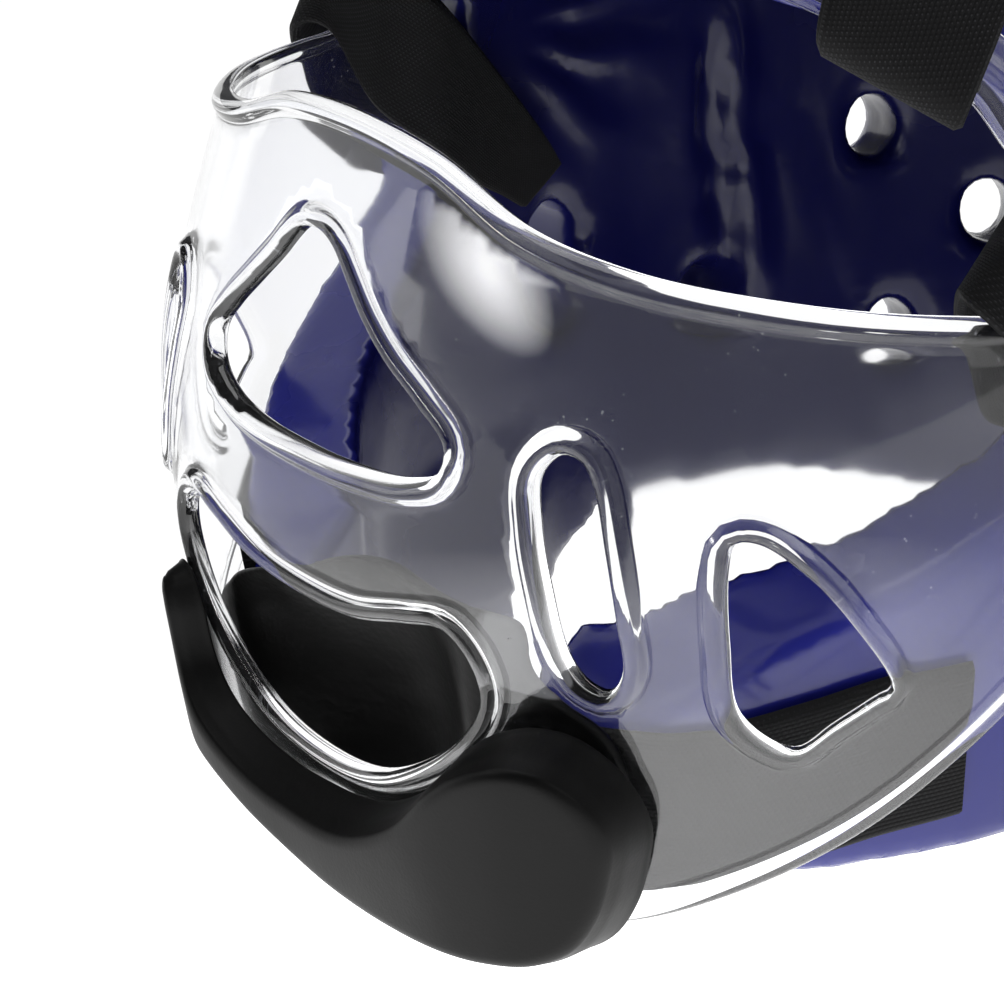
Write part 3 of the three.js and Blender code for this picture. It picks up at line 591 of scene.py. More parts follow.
def foamMaterial():
    # inside is a darker blue for faces turned in towards the head's axis: painted shade of the hollow shell.
    look = {"light": (0.012, 0.015, 0.19), "deep": (0.009, 0.011, 0.135), "inside": (0.006, 0.0065, 0.07),
            "roughness": (0.16, 0.3)}
    material, tree, shader = newMaterial("dippedFoam")
    setSockets(shader, Specular_IOR_Level=0.36, Coat_Roughness=0.1, Coat_Weight=0.12)
    where = objectCoordinates(tree)
    grain = placeGroup(tree, "grain", Scale=700)
    tree.links.new(where, grain.inputs["Vector"])
    skin = mixColour(tree, grain.outputs["Patches"], look["light"], look["deep"])
    flat = nodeOf(tree, "ShaderNodeVectorMath", operation="MULTIPLY")  # the way out from the head's axis
    tree.links.new(where, flat.inputs[0])
    flat.inputs[1].default_value = (1, 1, 0)
    outward = nodeOf(tree, "ShaderNodeVectorMath", operation="NORMALIZE")
    tree.links.new(flat.outputs[0], outward.inputs[0])
    facing = nodeOf(tree, "ShaderNodeVectorMath", operation="DOT_PRODUCT")
    tree.links.new(outward.outputs[0], facing.inputs[0])
    tree.links.new(nodeOf(tree, "ShaderNodeNewGeometry").outputs["Normal"], facing.inputs[1])
    # Painted shade: the more a face turns in towards the head's axis, the more it takes the dark inside
    # colour.
    inside = mapRange(tree, facing.outputs["Value"], 0.1, -0.5, 0.0, 1.0)
    tree.links.new(mixColour(tree, inside, skin, look["inside"]), shader.inputs["Base Color"])
    rough = mapRange(tree, grain.outputs["Patches"], 0.35, 0.7, *look["roughness"])
    tree.links.new(rough, shader.inputs["Roughness"])
    dents = noiseAt(tree, where, 55, 3, 0.5)
    normal = bumpFrom(tree, dents, 0.25, 0.0012)
    tree.links.new(bumpFrom(tree, grain.outputs["Height"], 0.08, 0.0002, normal), shader.inputs["Normal"])
    return material


def bumperMaterial():
    look = {"colour": (0.0025, 0.0025, 0.0025), "scuffed": (0.0045, 0.0045, 0.0045),
            "roughness": (0.42, 0.54)}
    material, tree, shader = newMaterial("bumperRubber")
    setSockets(shader, Specular_IOR_Level=0.1)
    where = objectCoordinates(tree)
    grain = placeGroup(tree, "grain", Scale=1500)
    tree.links.new(where, grain.inputs["Vector"])
    skin = mixColour(tree, grain.outputs["Patches"], look["colour"], look["scuffed"])
    tree.links.new(skin, shader.inputs["Base Color"])
    rough = mapRange(tree, grain.outputs["Patches"], 0.3, 0.7, *look["roughness"])
    tree.links.new(rough, shader.inputs["Roughness"])
    tree.links.new(bumpFrom(tree, grain.outputs["Height"], 0.1, 0.0003), shader.inputs["Normal"])
    return material


def cupMaterial():
    look = {"colour": (0.0025, 0.0025, 0.0025), "worn": (0.005, 0.005, 0.005), "felt": (0.16, 0.16, 0.165),
            "roughness": (0.34, 0.5), "feltFrom": (0.0395, 0.0415)}
    material, tree, shader = newMaterial("cupVinyl")
    setSockets(shader, Specular_IOR_Level=0.08)
    where = objectCoordinates(tree)
    grain = placeGroup(tree, "grain", Scale=800)
    tree.links.new(where, grain.inputs["Vector"])
    plain = mixColour(tree, grain.outputs["Patches"], look["colour"], look["worn"])
    split = nodeOf(tree, "ShaderNodeSeparateXYZ")  # the felt patch at the cup's left end
    tree.links.new(where, split.inputs[0])
    ragged = mathNode(tree, "MULTIPLY_ADD", noiseAt(tree, where, 420, 3, 0.6), 0.003, split.outputs["X"])
    felt = mapRange(tree, ragged, *look["feltFrom"], 0.0, 1.0)
    above = mapRange(tree, split.outputs["Z"], 0.0478, 0.0482, 0.0, 1.0)
    patch = mathNode(tree, "MULTIPLY", felt, above)
    tree.links.new(mixColour(tree, patch, plain, look["felt"]), shader.inputs["Base Color"])
    rough = mapRange(tree, grain.outputs["Patches"], 0.3, 0.7, *look["roughness"])
    tree.links.new(rough, shader.inputs["Roughness"])
    folds = noiseAt(tree, where, 60, 3, 0.5, stretch=(1.0, 1.0, 1.7))
    normal = bumpFrom(tree, folds, 0.3, 0.0011)
    tree.links.new(bumpFrom(tree, grain.outputs["Height"], 0.25, 0.0003, normal), shader.inputs["Normal"])
    return material


def elasticMaterial(name, rib, stitch, dots):
    look = {"yarn": (0.005, 0.005, 0.0055), "glint": (0.05, 0.05, 0.055)}
    material, tree, shader = newMaterial(name)
    setSockets(shader, Roughness=0.78, Specular_IOR_Level=0.15, Sheen_Weight=0.03, Sheen_Roughness=0.5)
    uv = nodeOf(tree, "ShaderNodeUVMap", uv_map="UVMap")
    weave = placeGroup(tree, "weave", Rib=rib, Stitch=stitch)
    tree.links.new(uv.outputs[0], weave.inputs["UV"])
    worn = mapRange(tree, noiseAt(tree, objectCoordinates(tree), 160, 3), 0.35, 0.7, 0.25, 1.0)
    # Painted highlight: the stitch tops get the brighter glint colour in place of real glints from the lamps;
    # the worn noise here only fades it in patches.
    glint = mathNode(tree, "MULTIPLY", mathNode(tree, "MULTIPLY", weave.outputs["Dots"], worn), dots)
    tree.links.new(mixColour(tree, glint, look["yarn"], look["glint"]), shader.inputs["Base Color"])
    tree.links.new(bumpFrom(tree, weave.outputs["Height"], 0.5, 0.0003), shader.inputs["Normal"])
    return material


clear = clearMaterial()
foamSkin = foamMaterial()
rubber = bumperMaterial()
vinyl = cupMaterial()
webbing = elasticMaterial("templeElastic", 0.75, 0.9, 0.7)
chinWebbing = elasticMaterial("chinElastic", 0.8, 1.0, 0.25)
print("materials made")


# Camera at the photograph's angle

cameraSet = {"place": (560.74, -508.73, 369.62), "turn": 52.67, "height": 23.92, "focal": 4500, "image": 1004}


def addCamera():
    data = bpy.data.cameras.new("camera")
    data.sensor_width = 36
    data.lens = cameraSet["focal"] * data.sensor_width / cameraSet["image"]
    data.clip_start, data.clip_end = 0.01, 50
    camera = bpy.data.objects.new("camera", data)
    scene.collection.objects.link(camera)
    turn, height = math.radians(cameraSet["turn"]), math.radians(cameraSet["height"])
    back = Vector((math.sin(turn) * math.cos(height), -math.cos(turn) * math.cos(height), math.sin(height)))
    camera.location = Vector((np.array(cameraSet["place"]) + headShift) * mm)
    camera.rotation_euler = back.to_track_quat("Z", "Y").to_euler()
    scene.camera = camera


addCamera()


# Face shield

# From the front sheet, over a rounded bead, round the edge and on to the back sheet.
def beadProfile(width, height, thick):
    outer = np.linspace(1, 0.5, 7)
    hill = [(width * t, 1, height * math.sin(math.pi * (1 - t)) ** 2) for t in outer]
    angles = np.radians(np.linspace(90, 0, 9))[1:]
    brow = [(width / 2 * (1 - math.cos(a)), 1, (height + thick / 2) * math.sin(a) - thick / 2)
            for a in angles]
    under = [(thick / 2 * (1 - math.cos(a)), 1, -thick / 2 * (1 + math.sin(a))) for a in angles[::-1][1:]]
    last = [(thick / 2, 0, 0), ((thick / 2 + width) / 2, 0, 0), (width, 0, 0)]
    return hill + brow + under + last


faceShieldSet = {
    "step": 1.2,
    "fill": 2.6,
    "rim": {"width": 4.2, "height": 1.2},
    "outline": [  # turn, low, high
        (0, 3.5, 191), (12, 4.5, 189), (22, 7.5, 185), (30, 16, 177), (38, 28, 165), (46, 45, 150),
        (54, 66, 136), (60, 84, 125), (62.5, 93, 118), (63.5, 99, 112),
    ],
    "eye": [
        (0, 133, 178), (8, 131, 177), (15, 124, 175), (22, 120, 170.5), (30, 117, 161.5), (36, 114.8, 154.5),
        (41.2, 113.2, 145.8), (44, 112.5, 137.5), (47, 112.8, 131.5), (49.5, 116, 122),
    ],
    "eyeBead": {"width": 4.4, "height": 1.3},
    "nose": [
        (-2, 112), (-0.4, 110.4), (1.2, 106.8), (3.3, 101.8), (6, 96.8), (9.3, 92), (11.6, 87.4), (11.3, 83),
        (9.3, 80.4), (4.5, 78.5), (0, 77.8), (-4.8, 78), (-8.4, 79.6), (-10.7, 83),
        (-11.2, 87.5), (-10, 92.5),
        (-8, 98.5), (-6, 104.5), (-4.7, 109), (-3.7, 111.4),
    ],
    "noseBead": {"width": 4.8, "height": 1.6},
    "mouth": [
        (0, 51), (5, 52), (9.5, 55.5), (12.6, 57), (14.3, 53), (14.9, 47), (13.2, 38), (9.7, 29.5),
        (5.2, 23), (0, 21), (-5.2, 23), (-9.7, 29.5), (-13.2, 38), (-14.9, 47), (-14.3, 53), (-12.6, 57),
        (-9.5, 55.5), (-5, 52),
    ],
    "mouthBead": {"width": 4.6, "height": 1.5},
    "slot": [
        (19.4, 91), (18.2, 87), (18.5, 79), (19.4, 69), (20.6, 58), (21.7, 54), (22.9, 53), (23.7, 56.5),
        (23.3, 66), (22.5, 77), (21.5, 87), (20.6, 90.5),
    ],
    "slotBead": {"width": 5.0, "height": 1.6},
    "cheek": [
        (29.3, 75), (29.6, 79.5), (31, 79.5), (33.7, 74), (36, 66.5), (38.6, 53.5), (37.7, 52),
        (35.2, 47.5), (33.2, 43.5), (31.8, 45), (30, 50.5), (29.5, 62),
    ],
    "cheekBead": {"width": 4.6, "height": 1.5},
}


def faceShield():
    step, thick = faceShieldSet["step"], shieldShape["thick"]
    rim = beadProfile(thick=thick, **faceShieldSet["rim"])
    holes = [(tableLoop(faceShieldSet["eye"], step), beadProfile(thick=thick, **faceShieldSet["eyeBead"]))]
    for name, signs in (("nose", (1,)), ("mouth", (1,)), ("slot", (1, -1)), ("cheek", (1, -1))):
        profile = beadProfile(thick=thick, **faceShieldSet[name + "Bead"])
        holes += [(edgeLoop(faceShieldSet[name], step, sign), profile) for sign in signs]
    outline = (tableLoop(faceShieldSet["outline"], step), rim)
    return trimmedSheet(
        "faceShieldClear", outline, holes, faceShieldSet["fill"],
        lambda flat: np.zeros(len(flat)), lambda flat: np.full(len(flat), -float(thick)), shieldPlace, clear,
    )


shield = faceShield()
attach(shield, "root")
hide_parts("face_shield")
print("face shield made:", len(shield.data.polygons), "faces")


# Chin bumper

bumperSet = {
    "step": 1.2,
    "fill": 2.4,
    "inset": 2.1,
    "taper": 2.4,  # how far the side wall leans in from the back to the front
    "frontRound": 2.6,
    "backRound": 1.0,
    "roundShare": 0.17,  # of the thickness, at the front edge
    "outline": [  # turn, z from the top middle round the left lobe, the lower edge and the right lobe
        (0, 16.4), (6.3, 19), (10.7, 26), (14.2, 37), (16.4, 42.4), (19, 45.6), (21.4, 45.2), (23.4, 41.5),
        (24.8, 36), (25.5, 29.5), (25.2, 22.5), (24.4, 14.5), (22.8, 7), (20.4, 2.6),
        (17, 0.6), (13, 0.1), (8, 0.1),
        (3, 0.5), (-1, 1.6), (-5, 3.4), (-9, 6.2), (-13, 8.6), (-17, 10.2),
        (-20.2, 13.4), (-21.8, 19), (-21.5, 25.4),
        (-19.9, 31), (-17.8, 35.6), (-15.8, 39.8), (-14, 42.2), (-12.5, 41.2), (-11.6, 36), (-11.5, 30),
        (-10.8, 24.4), (-9.1, 20.4), (-6, 17.6), (-3, 16.4),
    ],
    "thick": [  # turn, height of the front over the shield
        (-22, 3.4), (-19, 4.2), (-16.5, 5.2), (-14, 7.4), (-12, 9.2), (-10, 10.4), (-5, 11.2), (0, 12.2),
        (5, 13.6), (10, 15), (15, 16.2), (18, 16), (21, 15), (24, 13.5), (25.5, 12),
    ],
}


# The pad between its front, at the thickness of that turn, and the beads it lies on. Each step of the
# profile is a distance in from the outline and a share of the way from the back to the front.
def chinBumper():
    knots = np.array(bumperSet["outline"])
    loop = smoothLoop(np.stack([flatFromTurn(knots[:, 0]), knots[:, 1]], -1), bumperSet["step"])
    thick = column(bumperSet["thick"], 1)
    taper, share = bumperSet["taper"], bumperSet["roundShare"]
    frontRound, backRound = bumperSet["frontRound"], bumperSet["backRound"]
    angles = np.radians(np.linspace(90, 0, 9))
    front = [(taper + frontRound * (1 - math.cos(a)), 1 - share * (1 - math.sin(a)), 0) for a in angles]
    side = [(taper * part, part, 0) for part in (0.7, 0.55, 0.4, 0.25, 0.12)]
    back = [(backRound * (1 - math.cos(a)), 0.06 * (1 - math.sin(a)), 0) for a in angles[::-1]]
    profile = [(taper + frontRound + 1.5, 1, 0)] + front + side + back + [(taper + frontRound + 1.5, 0, 0)]
    return trimmedSheet(
        "chinBumperMoulded", (loop, profile), [], bumperSet["fill"],
        lambda flat: thick(turnFromFlat(flat[:, 0])),
        lambda flat: np.full(len(flat), bumperSet["inset"]), shieldPlace, rubber,
    )


bumper = chinBumper()
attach(bumper, "root")
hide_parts("chin_bumper")
print("chin bumper made:", len(bumper.data.polygons), "faces")


# Chin cup

cupSet = {
    "step": 1.2,
    "fill": 2.0,
    "front": 4.5,
    "thick": 2.6,
    "dish": 19,
    "dishTurn": 12.8,
    "rim": 1.3,
    "levels": [  # turn, low, high: the cup sits a little askew
        (-21, 12, 20), (-19, 9.5, 27), (-16.5, 7.5, 32.5), (-14.3, 6, 36.5), (-12, 5, 41), (-8.6, 4, 45.5),
        (-6, 3.5, 48), (-2.5, 2.7, 52.5), (0.5, 2.5, 57), (3.5, 2.6, 60.3), (6.4, 3, 61.8), (9, 3.3, 61),
        (12, 4, 60), (15, 6, 60.3), (16.8, 7.2, 59.5), (17.4, 7.6, 52), (19, 10, 48),
        (21, 14, 44.5), (22.6, 24, 38),
    ],
}
cupLow, cupHigh = column(cupSet["levels"], 1), column(cupSet["levels"], 2)


# A dish behind the mouth opening: a smooth hump of depth that fades out towards the cup's edge.
def cupFront(flat):
    turn = turnFromFlat(flat[:, 0])
    low, high = cupLow(turn), cupHigh(turn)
    level = np.clip((flat[:, 1] - low) / (high - low), 0, 1)
    across = np.clip(1 - (turn / cupSet["dishTurn"]) ** 2, 0, 1) ** 1.3
    hollow = across * (1 - np.abs(2 * level - 0.9) ** 2.4 / 1.3)
    return -cupSet["front"] - cupSet["dish"] * np.clip(hollow, 0, 1)


def chinCup():
    rows = cupSet["levels"]
    knots = np.array([(row[0], row[2]) for row in rows] + [(row[0], row[1]) for row in reversed(rows)])
    loop = smoothLoop(np.stack([flatFromTurn(knots[:, 0]), knots[:, 1]], -1), cupSet["step"])
    rim = cupSet["rim"]
    angles = np.radians(np.linspace(90, -90, 11))
    turnOver = [(rim * (1 - math.cos(a)), 0.5 + 0.5 * math.sin(a), 0) for a in angles]
    profile = [(3, 1, 0)] + turnOver + [(3, 0, 0)]
    return trimmedSheet(
        "chinCupDished", (loop, profile), [], cupSet["fill"],
        cupFront, lambda flat: cupFront(flat) - cupSet["thick"], shieldPlace, vinyl,
    )


cup = chinCup()
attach(cup, "root")
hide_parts("chin_cup")
print("chin cup made:", len(cup.data.polygons), "faces")


# Foam headgear

foamSet = {
    "columns": 180,
    "wallRows": 60,
    "domeRows": 40,
    "voxel": 2.1,
    "smooth": 9,
    "faceEdge": {  # y, z seen from the side, on the wearer's left and right
        1: [
            (-112, 177), (-96, 169), (-81, 162), (-68, 157), (-54, 151), (-40, 140), (-27, 124), (-22, 108),
            (-24, 95), (-33, 83), (-46, 75), (-57, 69), (-67, 64), (-74, 60), (-80, 56.5), (-87, 50),
            (-95, 43), (-112, 26),
        ],
        -1: [
            (-112, 177), (-96, 169), (-81, 162), (-70, 157), (-60, 151), (-50, 140), (-42, 124), (-38, 108),
            (-39, 94), (-44, 82), (-52, 74), (-60, 68.5), (-67, 64), (-74, 60), (-80, 56.5), (-87, 50),
            (-95, 43), (-112, 26),
        ],
    },
    "jawGap": {"halfWidth": 31, "back": -60, "top": 80},
    "cutter": {"near": 40, "far": 140, "reach": 200, "halfWidth": 120, "overlap": 0.5},
    "ear": {"turn": 81, "z": 61, "halfLength": 8, "halfHeight": 13},
    "pivot": 97,
    "vent": {"halfLength": 6.1, "halfHeight": 7, "swing": 24, "drop": 14},
    "vents": [(131, 75), (147, 58), (134, 32), (104, 42)],  # turn, z
}


# The shell before it is cut: an outer and an inner grid of turns and heights, joined at the lower edge.
def foamWalls():
    turns = np.linspace(0, 360, foamSet["columns"], endpoint=False)
    edges = {side: column(rows, 1) for side, rows in foamShape["neckEdge"].items()}
    bottom = np.where(turns > 180, edges["right"](360 - turns), edges["left"](turns))
    wall = np.linspace(0, 1, foamSet["wallRows"] + 1)
    dome = np.sin(np.linspace(0, 1, foamSet["domeRows"] + 1)[1:] * math.pi / 2) ** 0.9
    start, height = foamShape["domeStart"], foamShape["height"]
    heights = np.concatenate([
        bottom[:, None] + (start - bottom[:, None]) * wall[None, :],
        np.broadcast_to(start + (height - start) * dome, (len(turns), len(dome))),
    ], 1)
    spreadTurns = np.broadcast_to(turns[:, None], heights.shape)
    outer = onFoam(spreadTurns, heights, 0.0)
    inner = onFoam(spreadTurns, heights, float(foamShape["thick"]))
    grid = np.concatenate([inner[:, ::-1], outer], 1)
    columns, rows = grid.shape[:2]
    return grid.reshape(-1, 3), gridFaces(columns, rows, ringColumns=True)


# A prism from an outline, carried from low to high along X, or along a radius for a round hole.
def cutterMesh(name, outline, low, high, axis):
    count = len(outline)
    points = np.vstack([axis(outline, low), axis(outline, high)])
    index = np.arange(count)
    nxt = (index + 1) % count
    sides = np.stack([index, nxt, nxt + count, index + count], -1).tolist()
    faces = sides + [index[::-1].tolist(), (index + count).tolist()]
    return meshPiece(name, points, faces, foamSkin)


# Places an outline along a radius of the head. Past the pivot the hole swings towards the front and down.
def radialAxis(turn, z, swing=0.0, drop=0.0):
    angle = math.radians(turn)
    sign = math.copysign(1, turn)
    out = np.array([math.sin(angle), -math.cos(angle), 0.0])
    side = np.array([math.cos(angle), math.sin(angle), 0.0])
    swung = sign * math.tan(math.radians(swing)) * side
    along = out - swung - math.tan(math.radians(drop)) * np.array([0, 0, 1.0])
    pivot = out * foamSet["pivot"] + np.array([0, 0, z])

    def place(outline, distance):
        start = pivot + along * (distance - foamSet["pivot"])
        return start + outline[:, :1] * side + outline[:, 1:] * np.array([0, 0, 1.0])

    return place


def foamCutters():
    cut = foamSet["cutter"]
    reach = cut["reach"]

    def sideways(outline, x):
        return np.stack([np.full(len(outline), float(x)), outline[:, 0], outline[:, 1]], -1)

    cutters = []
    for sign, rows in foamSet["faceEdge"].items():
        edge = smoothPath(rows, 120)
        face = np.vstack([edge, [(-reach, edge[-1][1]), (-reach, edge[0][1])]])
        ends = sorted((-sign * cut["overlap"], sign * cut["halfWidth"]))
        cutters.append(cutterMesh(f"faceCutter{sign + 1}", face, *ends, sideways))
    gap = foamSet["jawGap"]
    box = np.array([(-reach, -reach), (gap["back"], -reach), (gap["back"], gap["top"]), (-reach, gap["top"])])
    cutters.append(cutterMesh("jawCutter", box, -gap["halfWidth"], gap["halfWidth"], sideways))
    angle = np.linspace(0, 2 * math.pi, 40, endpoint=False)
    circle = np.stack([np.cos(angle), np.sin(angle)], -1)
    ear = foamSet["ear"]
    vent = foamSet["vent"]
    holes = [(ear["turn"], ear["z"], ear["halfLength"], ear["halfHeight"], 0, 0)]
    holes += [(turn, z, *vent.values()) for turn, z in foamSet["vents"]]
    for number, (turn, z, halfLength, halfHeight, swing, drop) in enumerate(holes):
        for side, sign in (("Left", 1), ("Right", -1)):
            outline = circle * np.array([halfLength, halfHeight])
            place = radialAxis(sign * turn, z, swing, drop)
            cutters.append(cutterMesh(f"holeCutter{number}{side}", outline, cut["near"], cut["far"], place))
    return cutters


# Bakes a piece's modifiers into its mesh.
def applyModifiers(piece):
    baked = bpy.data.meshes.new_from_object(piece.evaluated_get(bpy.context.evaluated_depsgraph_get()))
    piece.modifiers.clear()
    piece.data = baked


# How far each point moves along its normal: soft unevenness, wrinkles that run out from under the temple
# strap inside, and a deep fold behind the ear with its raised lip.
def foamCreases(points, normals):
    x, y, z = points.T
    inward = smoothStep(-0.2, 0.4, -(normals[:, 0] * np.sign(x)))
    soft = 0.3 * ripple(points, 52, 3)
    strapY, strapZ = y + 30, z - 112
    reach = np.hypot(strapY, strapZ)
    angle = np.arctan2(strapZ, strapY)
    fan = np.sin(angle * 15 + 1.6 * ripple(points, 30, 6))
    fan = fan * smoothStep(58, 20, reach) * smoothStep(8, 20, reach)
    wrinkles = 0.8 * fan * inward * smoothStep(0.1, 0.8, np.cos(angle - 0.2))
    away = y - 28 + 0.12 * (z - 80) + 1.5 * ripple(points, 40, 8)
    along = smoothStep(40, 52, z) * smoothStep(108, 92, z)
    fold = inward * along * (1.5 * np.exp(-((away - 5) / 3.2) ** 2) - 2.6 * np.exp(-(away / 3.0) ** 2))
    return soft + wrinkles + fold


# How far each point moves sideways: the right jaw flap leans in towards the chin at its lower edge.
def flapLean(points):
    x, y, z = points.T
    return 7.5 * smoothStep(-20, -60, x) * smoothStep(-14, -34, y) * smoothStep(34, 4, z)


def foamHeadgear():
    points, faces = foamWalls()
    shell = meshPiece("foamHeadgearDipped", points, faces, foamSkin)
    cutters = foamCutters()
    for cutter in cutters:
        tool = shell.modifiers.new(cutter.name, "BOOLEAN")
        tool.operation, tool.solver, tool.object = "DIFFERENCE", "EXACT", cutter
    applyModifiers(shell)
    for cutter in cutters:
        bpy.data.objects.remove(cutter)
    remesh = shell.modifiers.new("remesh", "REMESH")
    remesh.mode, remesh.voxel_size = "VOXEL", foamSet["voxel"] * mm
    smooth = shell.modifiers.new("smooth", "SMOOTH")
    smooth.factor, smooth.iterations = 0.5, foamSet["smooth"]
    applyModifiers(shell)
    mesh = shell.data
    count = len(mesh.vertices)
    places, normals = np.empty(count * 3), np.empty(count * 3)
    mesh.vertices.foreach_get("co", places)
    mesh.vertex_normals.foreach_get("vector", normals)
    places, normals = places.reshape(-1, 3) / mm - headShift, normals.reshape(-1, 3)
    places += normals * foamCreases(places, normals)[:, None]
    places[:, 0] += flapLean(places)
    mesh.vertices.foreach_set("co", ((places + headShift) * mm).ravel())
    mesh.update()
    mesh.shade_smooth()
    mesh.materials.clear()
    mesh.materials.append(foamSkin)
    return shell


foam = foamHeadgear()
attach(foam, "root")
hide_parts("foam_headgear")
print("foam headgear made:", len(foam.data.polygons), "faces")


# Elastic straps

# A strap between two edge curves: a flat section with rounded sides carried along them.
# Its UV map is in millimetres, along and across.
def ribbon(name, near, far, thick, material, rows=160, across=26):
    nearPath, farPath = smoothPath(near, rows), smoothPath(far, rows)
    middle, half = (nearPath + farPath) / 2, (farPath - nearPath) / 2
    along = np.gradient(middle, axis=0)
    out = np.cross(along, half)
    out /= np.linalg.norm(out, axis=1)[:, None]
    width = np.linalg.norm(half, axis=1).mean()
    share = np.linspace(-1, 1, across)
    over = np.clip((np.abs(share) * width - width + thick / 2) / (thick / 2), 0, 1)
    edge = np.sqrt(np.clip(1 - over ** 2, 0, 1))
    height = thick / 2 * np.maximum(edge, 0.05)
    top = middle[:, None] + half[:, None] * share[None, :, None] + out[:, None] * height[None, :, None]
    low = middle[:, None] + half[:, None] * share[None, :, None] - out[:, None] * height[None, :, None]
    ring = np.concatenate([top, low[:, ::-1]], 1)
    length = np.concatenate([[0], np.cumsum(np.linalg.norm(np.diff(middle, axis=0), axis=1))])
    acrossUv = np.concatenate([share, share[::-1]]) * width
    uv = np.stack(np.broadcast_arrays(length[:, None], acrossUv[None, :]), -1).reshape(-1, 2)
    sides = ring.shape[1]
    faces = gridFaces(rows, sides, ringRows=True)
    faces += [list(range(sides))[::-1], list(range((rows - 1) * sides, rows * sides))]
    return meshPiece(name, ring.reshape(-1, 3), faces, material, uv)


strapSet = {
    "thick": 2.2,
    "gap": 0.3,
    "chin": [  # turn, low, high on the jaw flap
        (24.2, 8, 41.5), (28, 9, 41.3), (32, 10.5, 41.3), (38, 13, 43.5),
        (44, 16.5, 47), (52, 20.5, 51), (59, 22, 52),
    ],
    "temple": {  # low edge and high edge, from the outer end round the fold to the inner end
        1: [
            ((90.5, 46, 100), (90.5, 46, 138)), ((96.5, 22, 94), (96, 22, 132)),
            ((104, 0, 87), (103, 0, 126)),
            ((108, -18, 84), (105.5, -20, 123)), ((106, -32, 86), (103.5, -34, 123)),
            ((103.5, -41, 92), (99, -42, 126)), ((100, -47, 100), (96, -44, 129)),
            ((97, -53.5, 108), (93, -45, 131)), ((92, -60.8, 116.5), (90, -45, 130)),
            ((84.5, -56, 114.4), (82.5, -41.5, 127)),
            ((75, -47, 104), (72.5, -31.5, 121)), ((68, -38, 95), (66.5, -24, 112)),
            ((67, -33, 83), (66.5, -16, 98)), ((68, -26, 79), (69, -12, 86)),
        ],
        -1: [
            ((90.5, 46, 100), (90.5, 46, 138)), ((96.5, 22, 92), (96, 22, 130)),
            ((104, 0, 83), (103, 0, 124)),
            ((108, -18, 77), (105.5, -20, 121)), ((106, -32, 77), (103.5, -36, 122)),
            ((103, -40, 81), (99.5, -46, 124)), ((101, -46, 89.5), (96, -50, 129)),
            ((98.5, -52.5, 99.5), (93, -50, 133)), ((92, -59, 113.5), (90, -49, 136)),
            ((84.5, -56, 114.4), (84, -51, 134)), ((75, -53, 102), (73, -50, 129)),
            ((66, -45, 94), (64, -46, 123.5)),
            ((64.5, -38, 87), (63.5, -33, 107)), ((65.5, -31, 82.5), (66, -21, 92.5)),
            ((66.5, -26, 79), (67, -16.5, 86)),
        ],
    },
    "forehead": [  # on the foam or the shield, near edge, far edge as turn and z, height over the face
        ("foam", (40, 240), (58, 228), 5.4), ("foam", (42, 222), (58, 210), 5.4),
        ("foam", (43.5, 204), (57.5, 192), 5.4), ("foam", (44.8, 190), (57.5, 179), 6),
        ("shield", (33.4, 177), (45, 170), 5.4), ("shield", (32.5, 168), (43.4, 158), 6),
        ("shield", (32, 159.4), (41.6, 146.4), 5.6), ("shield", (31.8, 155.6), (41, 142.2), 0.4),
        ("shield", (32.1, 158), (41.2, 144.4), -5), ("shield", (33, 170), (42.6, 159.5), -4.6),
        ("foam", (44.8, 183), (57.5, 172), 2.9), ("foam", (43.5, 206), (57.5, 194), 2.6),
    ],
}


def mirrored(points, sign):
    return np.array(points, float) * np.array([sign, 1, 1])


def chinStrap(name, sign):
    rows = strapSet["chin"]
    turns = np.linspace(rows[0][0], rows[-1][0], 24)
    lift = -(strapSet["gap"] + strapSet["thick"] / 2)
    edges = [mirrored(onFoam(turns, column(rows, k)(turns), lift), sign) for k in (1, 2)]
    for edge in edges:
        edge[:, 0] += flapLean(edge)
    return ribbon(name, edges[0], edges[1], strapSet["thick"], chinWebbing)


def templeStrap(name, sign):
    edges = [mirrored([row[k] for row in strapSet["temple"][sign]], sign) for k in (0, 1)]
    return ribbon(name, edges[0], edges[1], strapSet["thick"], webbing, rows=240)


def foreheadStrap(name, sign):
    def edge(which):
        points = []
        for row in strapSet["forehead"]:
            turn, z = row[which]
            points.append(onFoam(turn, z, -row[3]) if row[0] == "foam" else onShield(turn, z, row[3]))
        return mirrored(points, sign)

    return ribbon(name, edge(1), edge(2), strapSet["thick"], webbing, rows=240)


for side, sign in (("left", 1), ("right", -1)):
    for make, node in (
        (chinStrap, "chin_strap"),
        (templeStrap, "temple_strap"),
        (foreheadStrap, "forehead_strap"),
    ):
        strap = make(node.replace("_s", "S") + side.capitalize(), sign)
        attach(strap, "root")
        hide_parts(f"{node}_{side}")
print("straps made")


# Floor and light

studioSet = {
    "floorHalf": 2500,
    "floorNear": 2.7,  # light sent up by the floor beside the part
    "floorFar": 1.05,
    "world": (0.1, 0.1, 0.105),
    "backdrop": (0.98, 0.98, 0.98),  # white behind whatever looks straight or through the clear shield
    "floorCentre": (150, -230, 0),  # where the floor is brightest
    "floorBright": 130,
    "floorDim": 260,
    "spot": {
        "turn": -20.4,
        "away": 80,
        "centre": (34, -106, 117.8),
        "core": 4,
        "halfWidth": 42,
        "halfHeight": 10.5,
        "glow": 21,
    },
    # name, place, the point it faces, width, height, power
    "softboxes": [
        ("topSoftbox", (-200, 100, 1300), (0, 0, 120), 1100, 900, 9),
        ("leftSoftbox", (-1100, -900, 200), (0, -60, 100), 900, 600, 3),
        ("rightSoftbox", (1100, 300, 900), (0, 0, 100), 500, 700, 3),
    ],
}


def studioPlane(name, points, material):
    mesh = bpy.data.meshes.new(name)
    mesh.from_pydata([tuple(np.array(p) * mm) for p in points], [], [(0, 1, 2, 3)])
    plane = addObject(name, mesh, material)
    plane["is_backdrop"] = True
    return plane


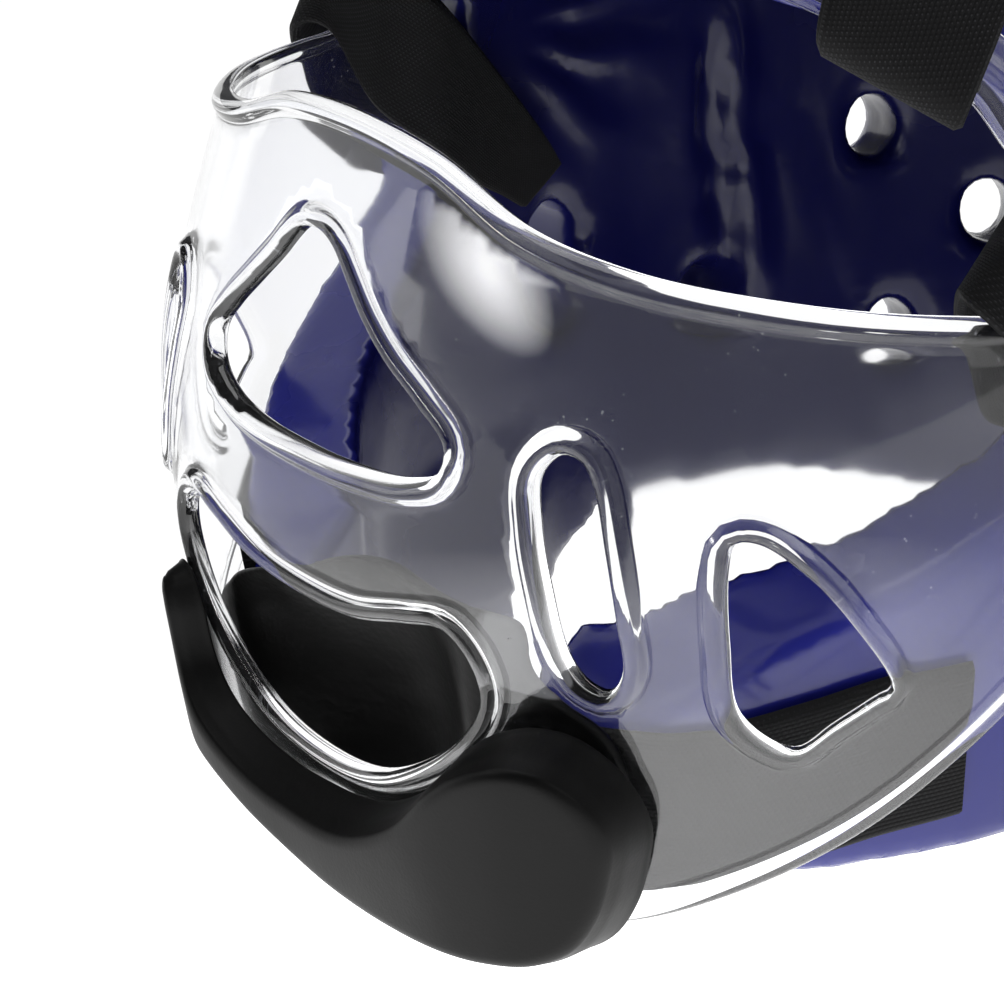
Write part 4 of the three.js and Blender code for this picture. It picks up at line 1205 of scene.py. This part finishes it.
# Light that falls smoothly from near to far with the distance from a centre.
def glowMaterial(name, centre, inner, outer, near, far, tall=1.0):
    material = bpy.data.materials.new(name)
    material.use_nodes = True
    tree = material.node_tree
    tree.nodes.remove(tree.nodes["Principled BSDF"])
    glow = nodeOf(tree, "ShaderNodeEmission")
    toCentre = nodeOf(tree, "ShaderNodeVectorMath", operation="SUBTRACT")
    tree.links.new(objectCoordinates(tree), toCentre.inputs[0])
    toCentre.inputs[1].default_value = tuple(np.array(centre) * mm)
    squeezed = nodeOf(tree, "ShaderNodeVectorMath", operation="MULTIPLY")
    tree.links.new(toCentre.outputs[0], squeezed.inputs[0])
    squeezed.inputs[1].default_value = (1, 1, 1 / tall)
    distance = nodeOf(tree, "ShaderNodeVectorMath", operation="LENGTH")
    tree.links.new(squeezed.outputs[0], distance.inputs[0])
    fall = mapRange(tree, distance.outputs["Value"], inner * mm, outer * mm, 1.0, 0.0)
    strength = mathNode(tree, "MULTIPLY_ADD", fall, near - far, far)
    tree.links.new(strength, glow.inputs["Strength"])
    glow.inputs["Color"].default_value = (1, 1, 1, 1)
    tree.links.new(glow.outputs[0], outputOf(tree).inputs["Surface"])
    return material


def addFloor():
    half = studioSet["floorHalf"]
    reach = studioSet["floorBright"], studioSet["floorDim"]
    light = studioSet["floorNear"], studioSet["floorFar"]
    glow = glowMaterial("paleFloor", studioSet["floorCentre"], *reach, *light)
    corners = [(-half, -half, -0.2), (half, -half, -0.2), (half, half, -0.2), (-half, half, -0.2)]
    return studioPlane("floor", corners, glow)


def addSoftbox(name, place, target, width, height, power):
    data = bpy.data.lights.new(name, "AREA")
    data.shape, data.size, data.size_y, data.energy = "RECTANGLE", width * mm, height * mm, power
    lamp = bpy.data.objects.new(name, data)
    scene.collection.objects.link(lamp)
    lamp.location = Vector(np.array(place) * mm)
    lamp.rotation_euler = (Vector(place) - Vector(target)).to_track_quat("Z", "Y").to_euler()
    lamp.visible_camera = False
    lamp.visible_transmission = False
    return lamp


def addLight():
    world = bpy.data.worlds.new("studio")
    world.use_nodes = True
    tree = world.node_tree
    path = nodeOf(tree, "ShaderNodeLightPath")
    seen = mathNode(tree, "MAXIMUM", path.outputs["Is Transmission Ray"], path.outputs["Is Camera Ray"])
    around = mixColour(tree, seen, studioSet["world"], studioSet["backdrop"])
    tree.links.new(around, tree.nodes["Background"].inputs["Color"])
    tree.nodes["Background"].inputs["Strength"].default_value = 1.0
    scene.world = world
    scene.view_settings.view_transform = "Standard"
    for softbox in studioSet["softboxes"]:
        addSoftbox(*softbox)
    spotSet = studioSet["spot"]
    turn = math.radians(spotSet["turn"])
    direction = np.array([math.sin(turn), -math.cos(turn), 0.0])
    centre = np.array(spotSet["centre"]) + direction * spotSet["away"]
    tall = spotSet["halfHeight"] / spotSet["halfWidth"]
    spread = spotSet["core"], spotSet["halfWidth"]
    spotGlow = glowMaterial("spotGlow", tuple(centre), *spread, spotSet["glow"], 0, tall)
    side = np.array([-direction[1], direction[0], 0]) * spotSet["halfWidth"]
    up = np.array([0, 0, spotSet["halfHeight"]])
    corners = [centre - side - up, centre + side - up, centre + side + up, centre - side + up]
    spot = studioPlane("spotCard", corners, spotGlow)
    spot.visible_camera = False
    spot.visible_transmission = False
    spot.visible_diffuse = False
    spot.visible_shadow = False


addFloor()
addLight()
print("studio made")

boxes = {"cad": cadBox, "visual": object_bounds()}
{key: [list(map(float, corner)) for corner in box] for key, box in boxes.items()}
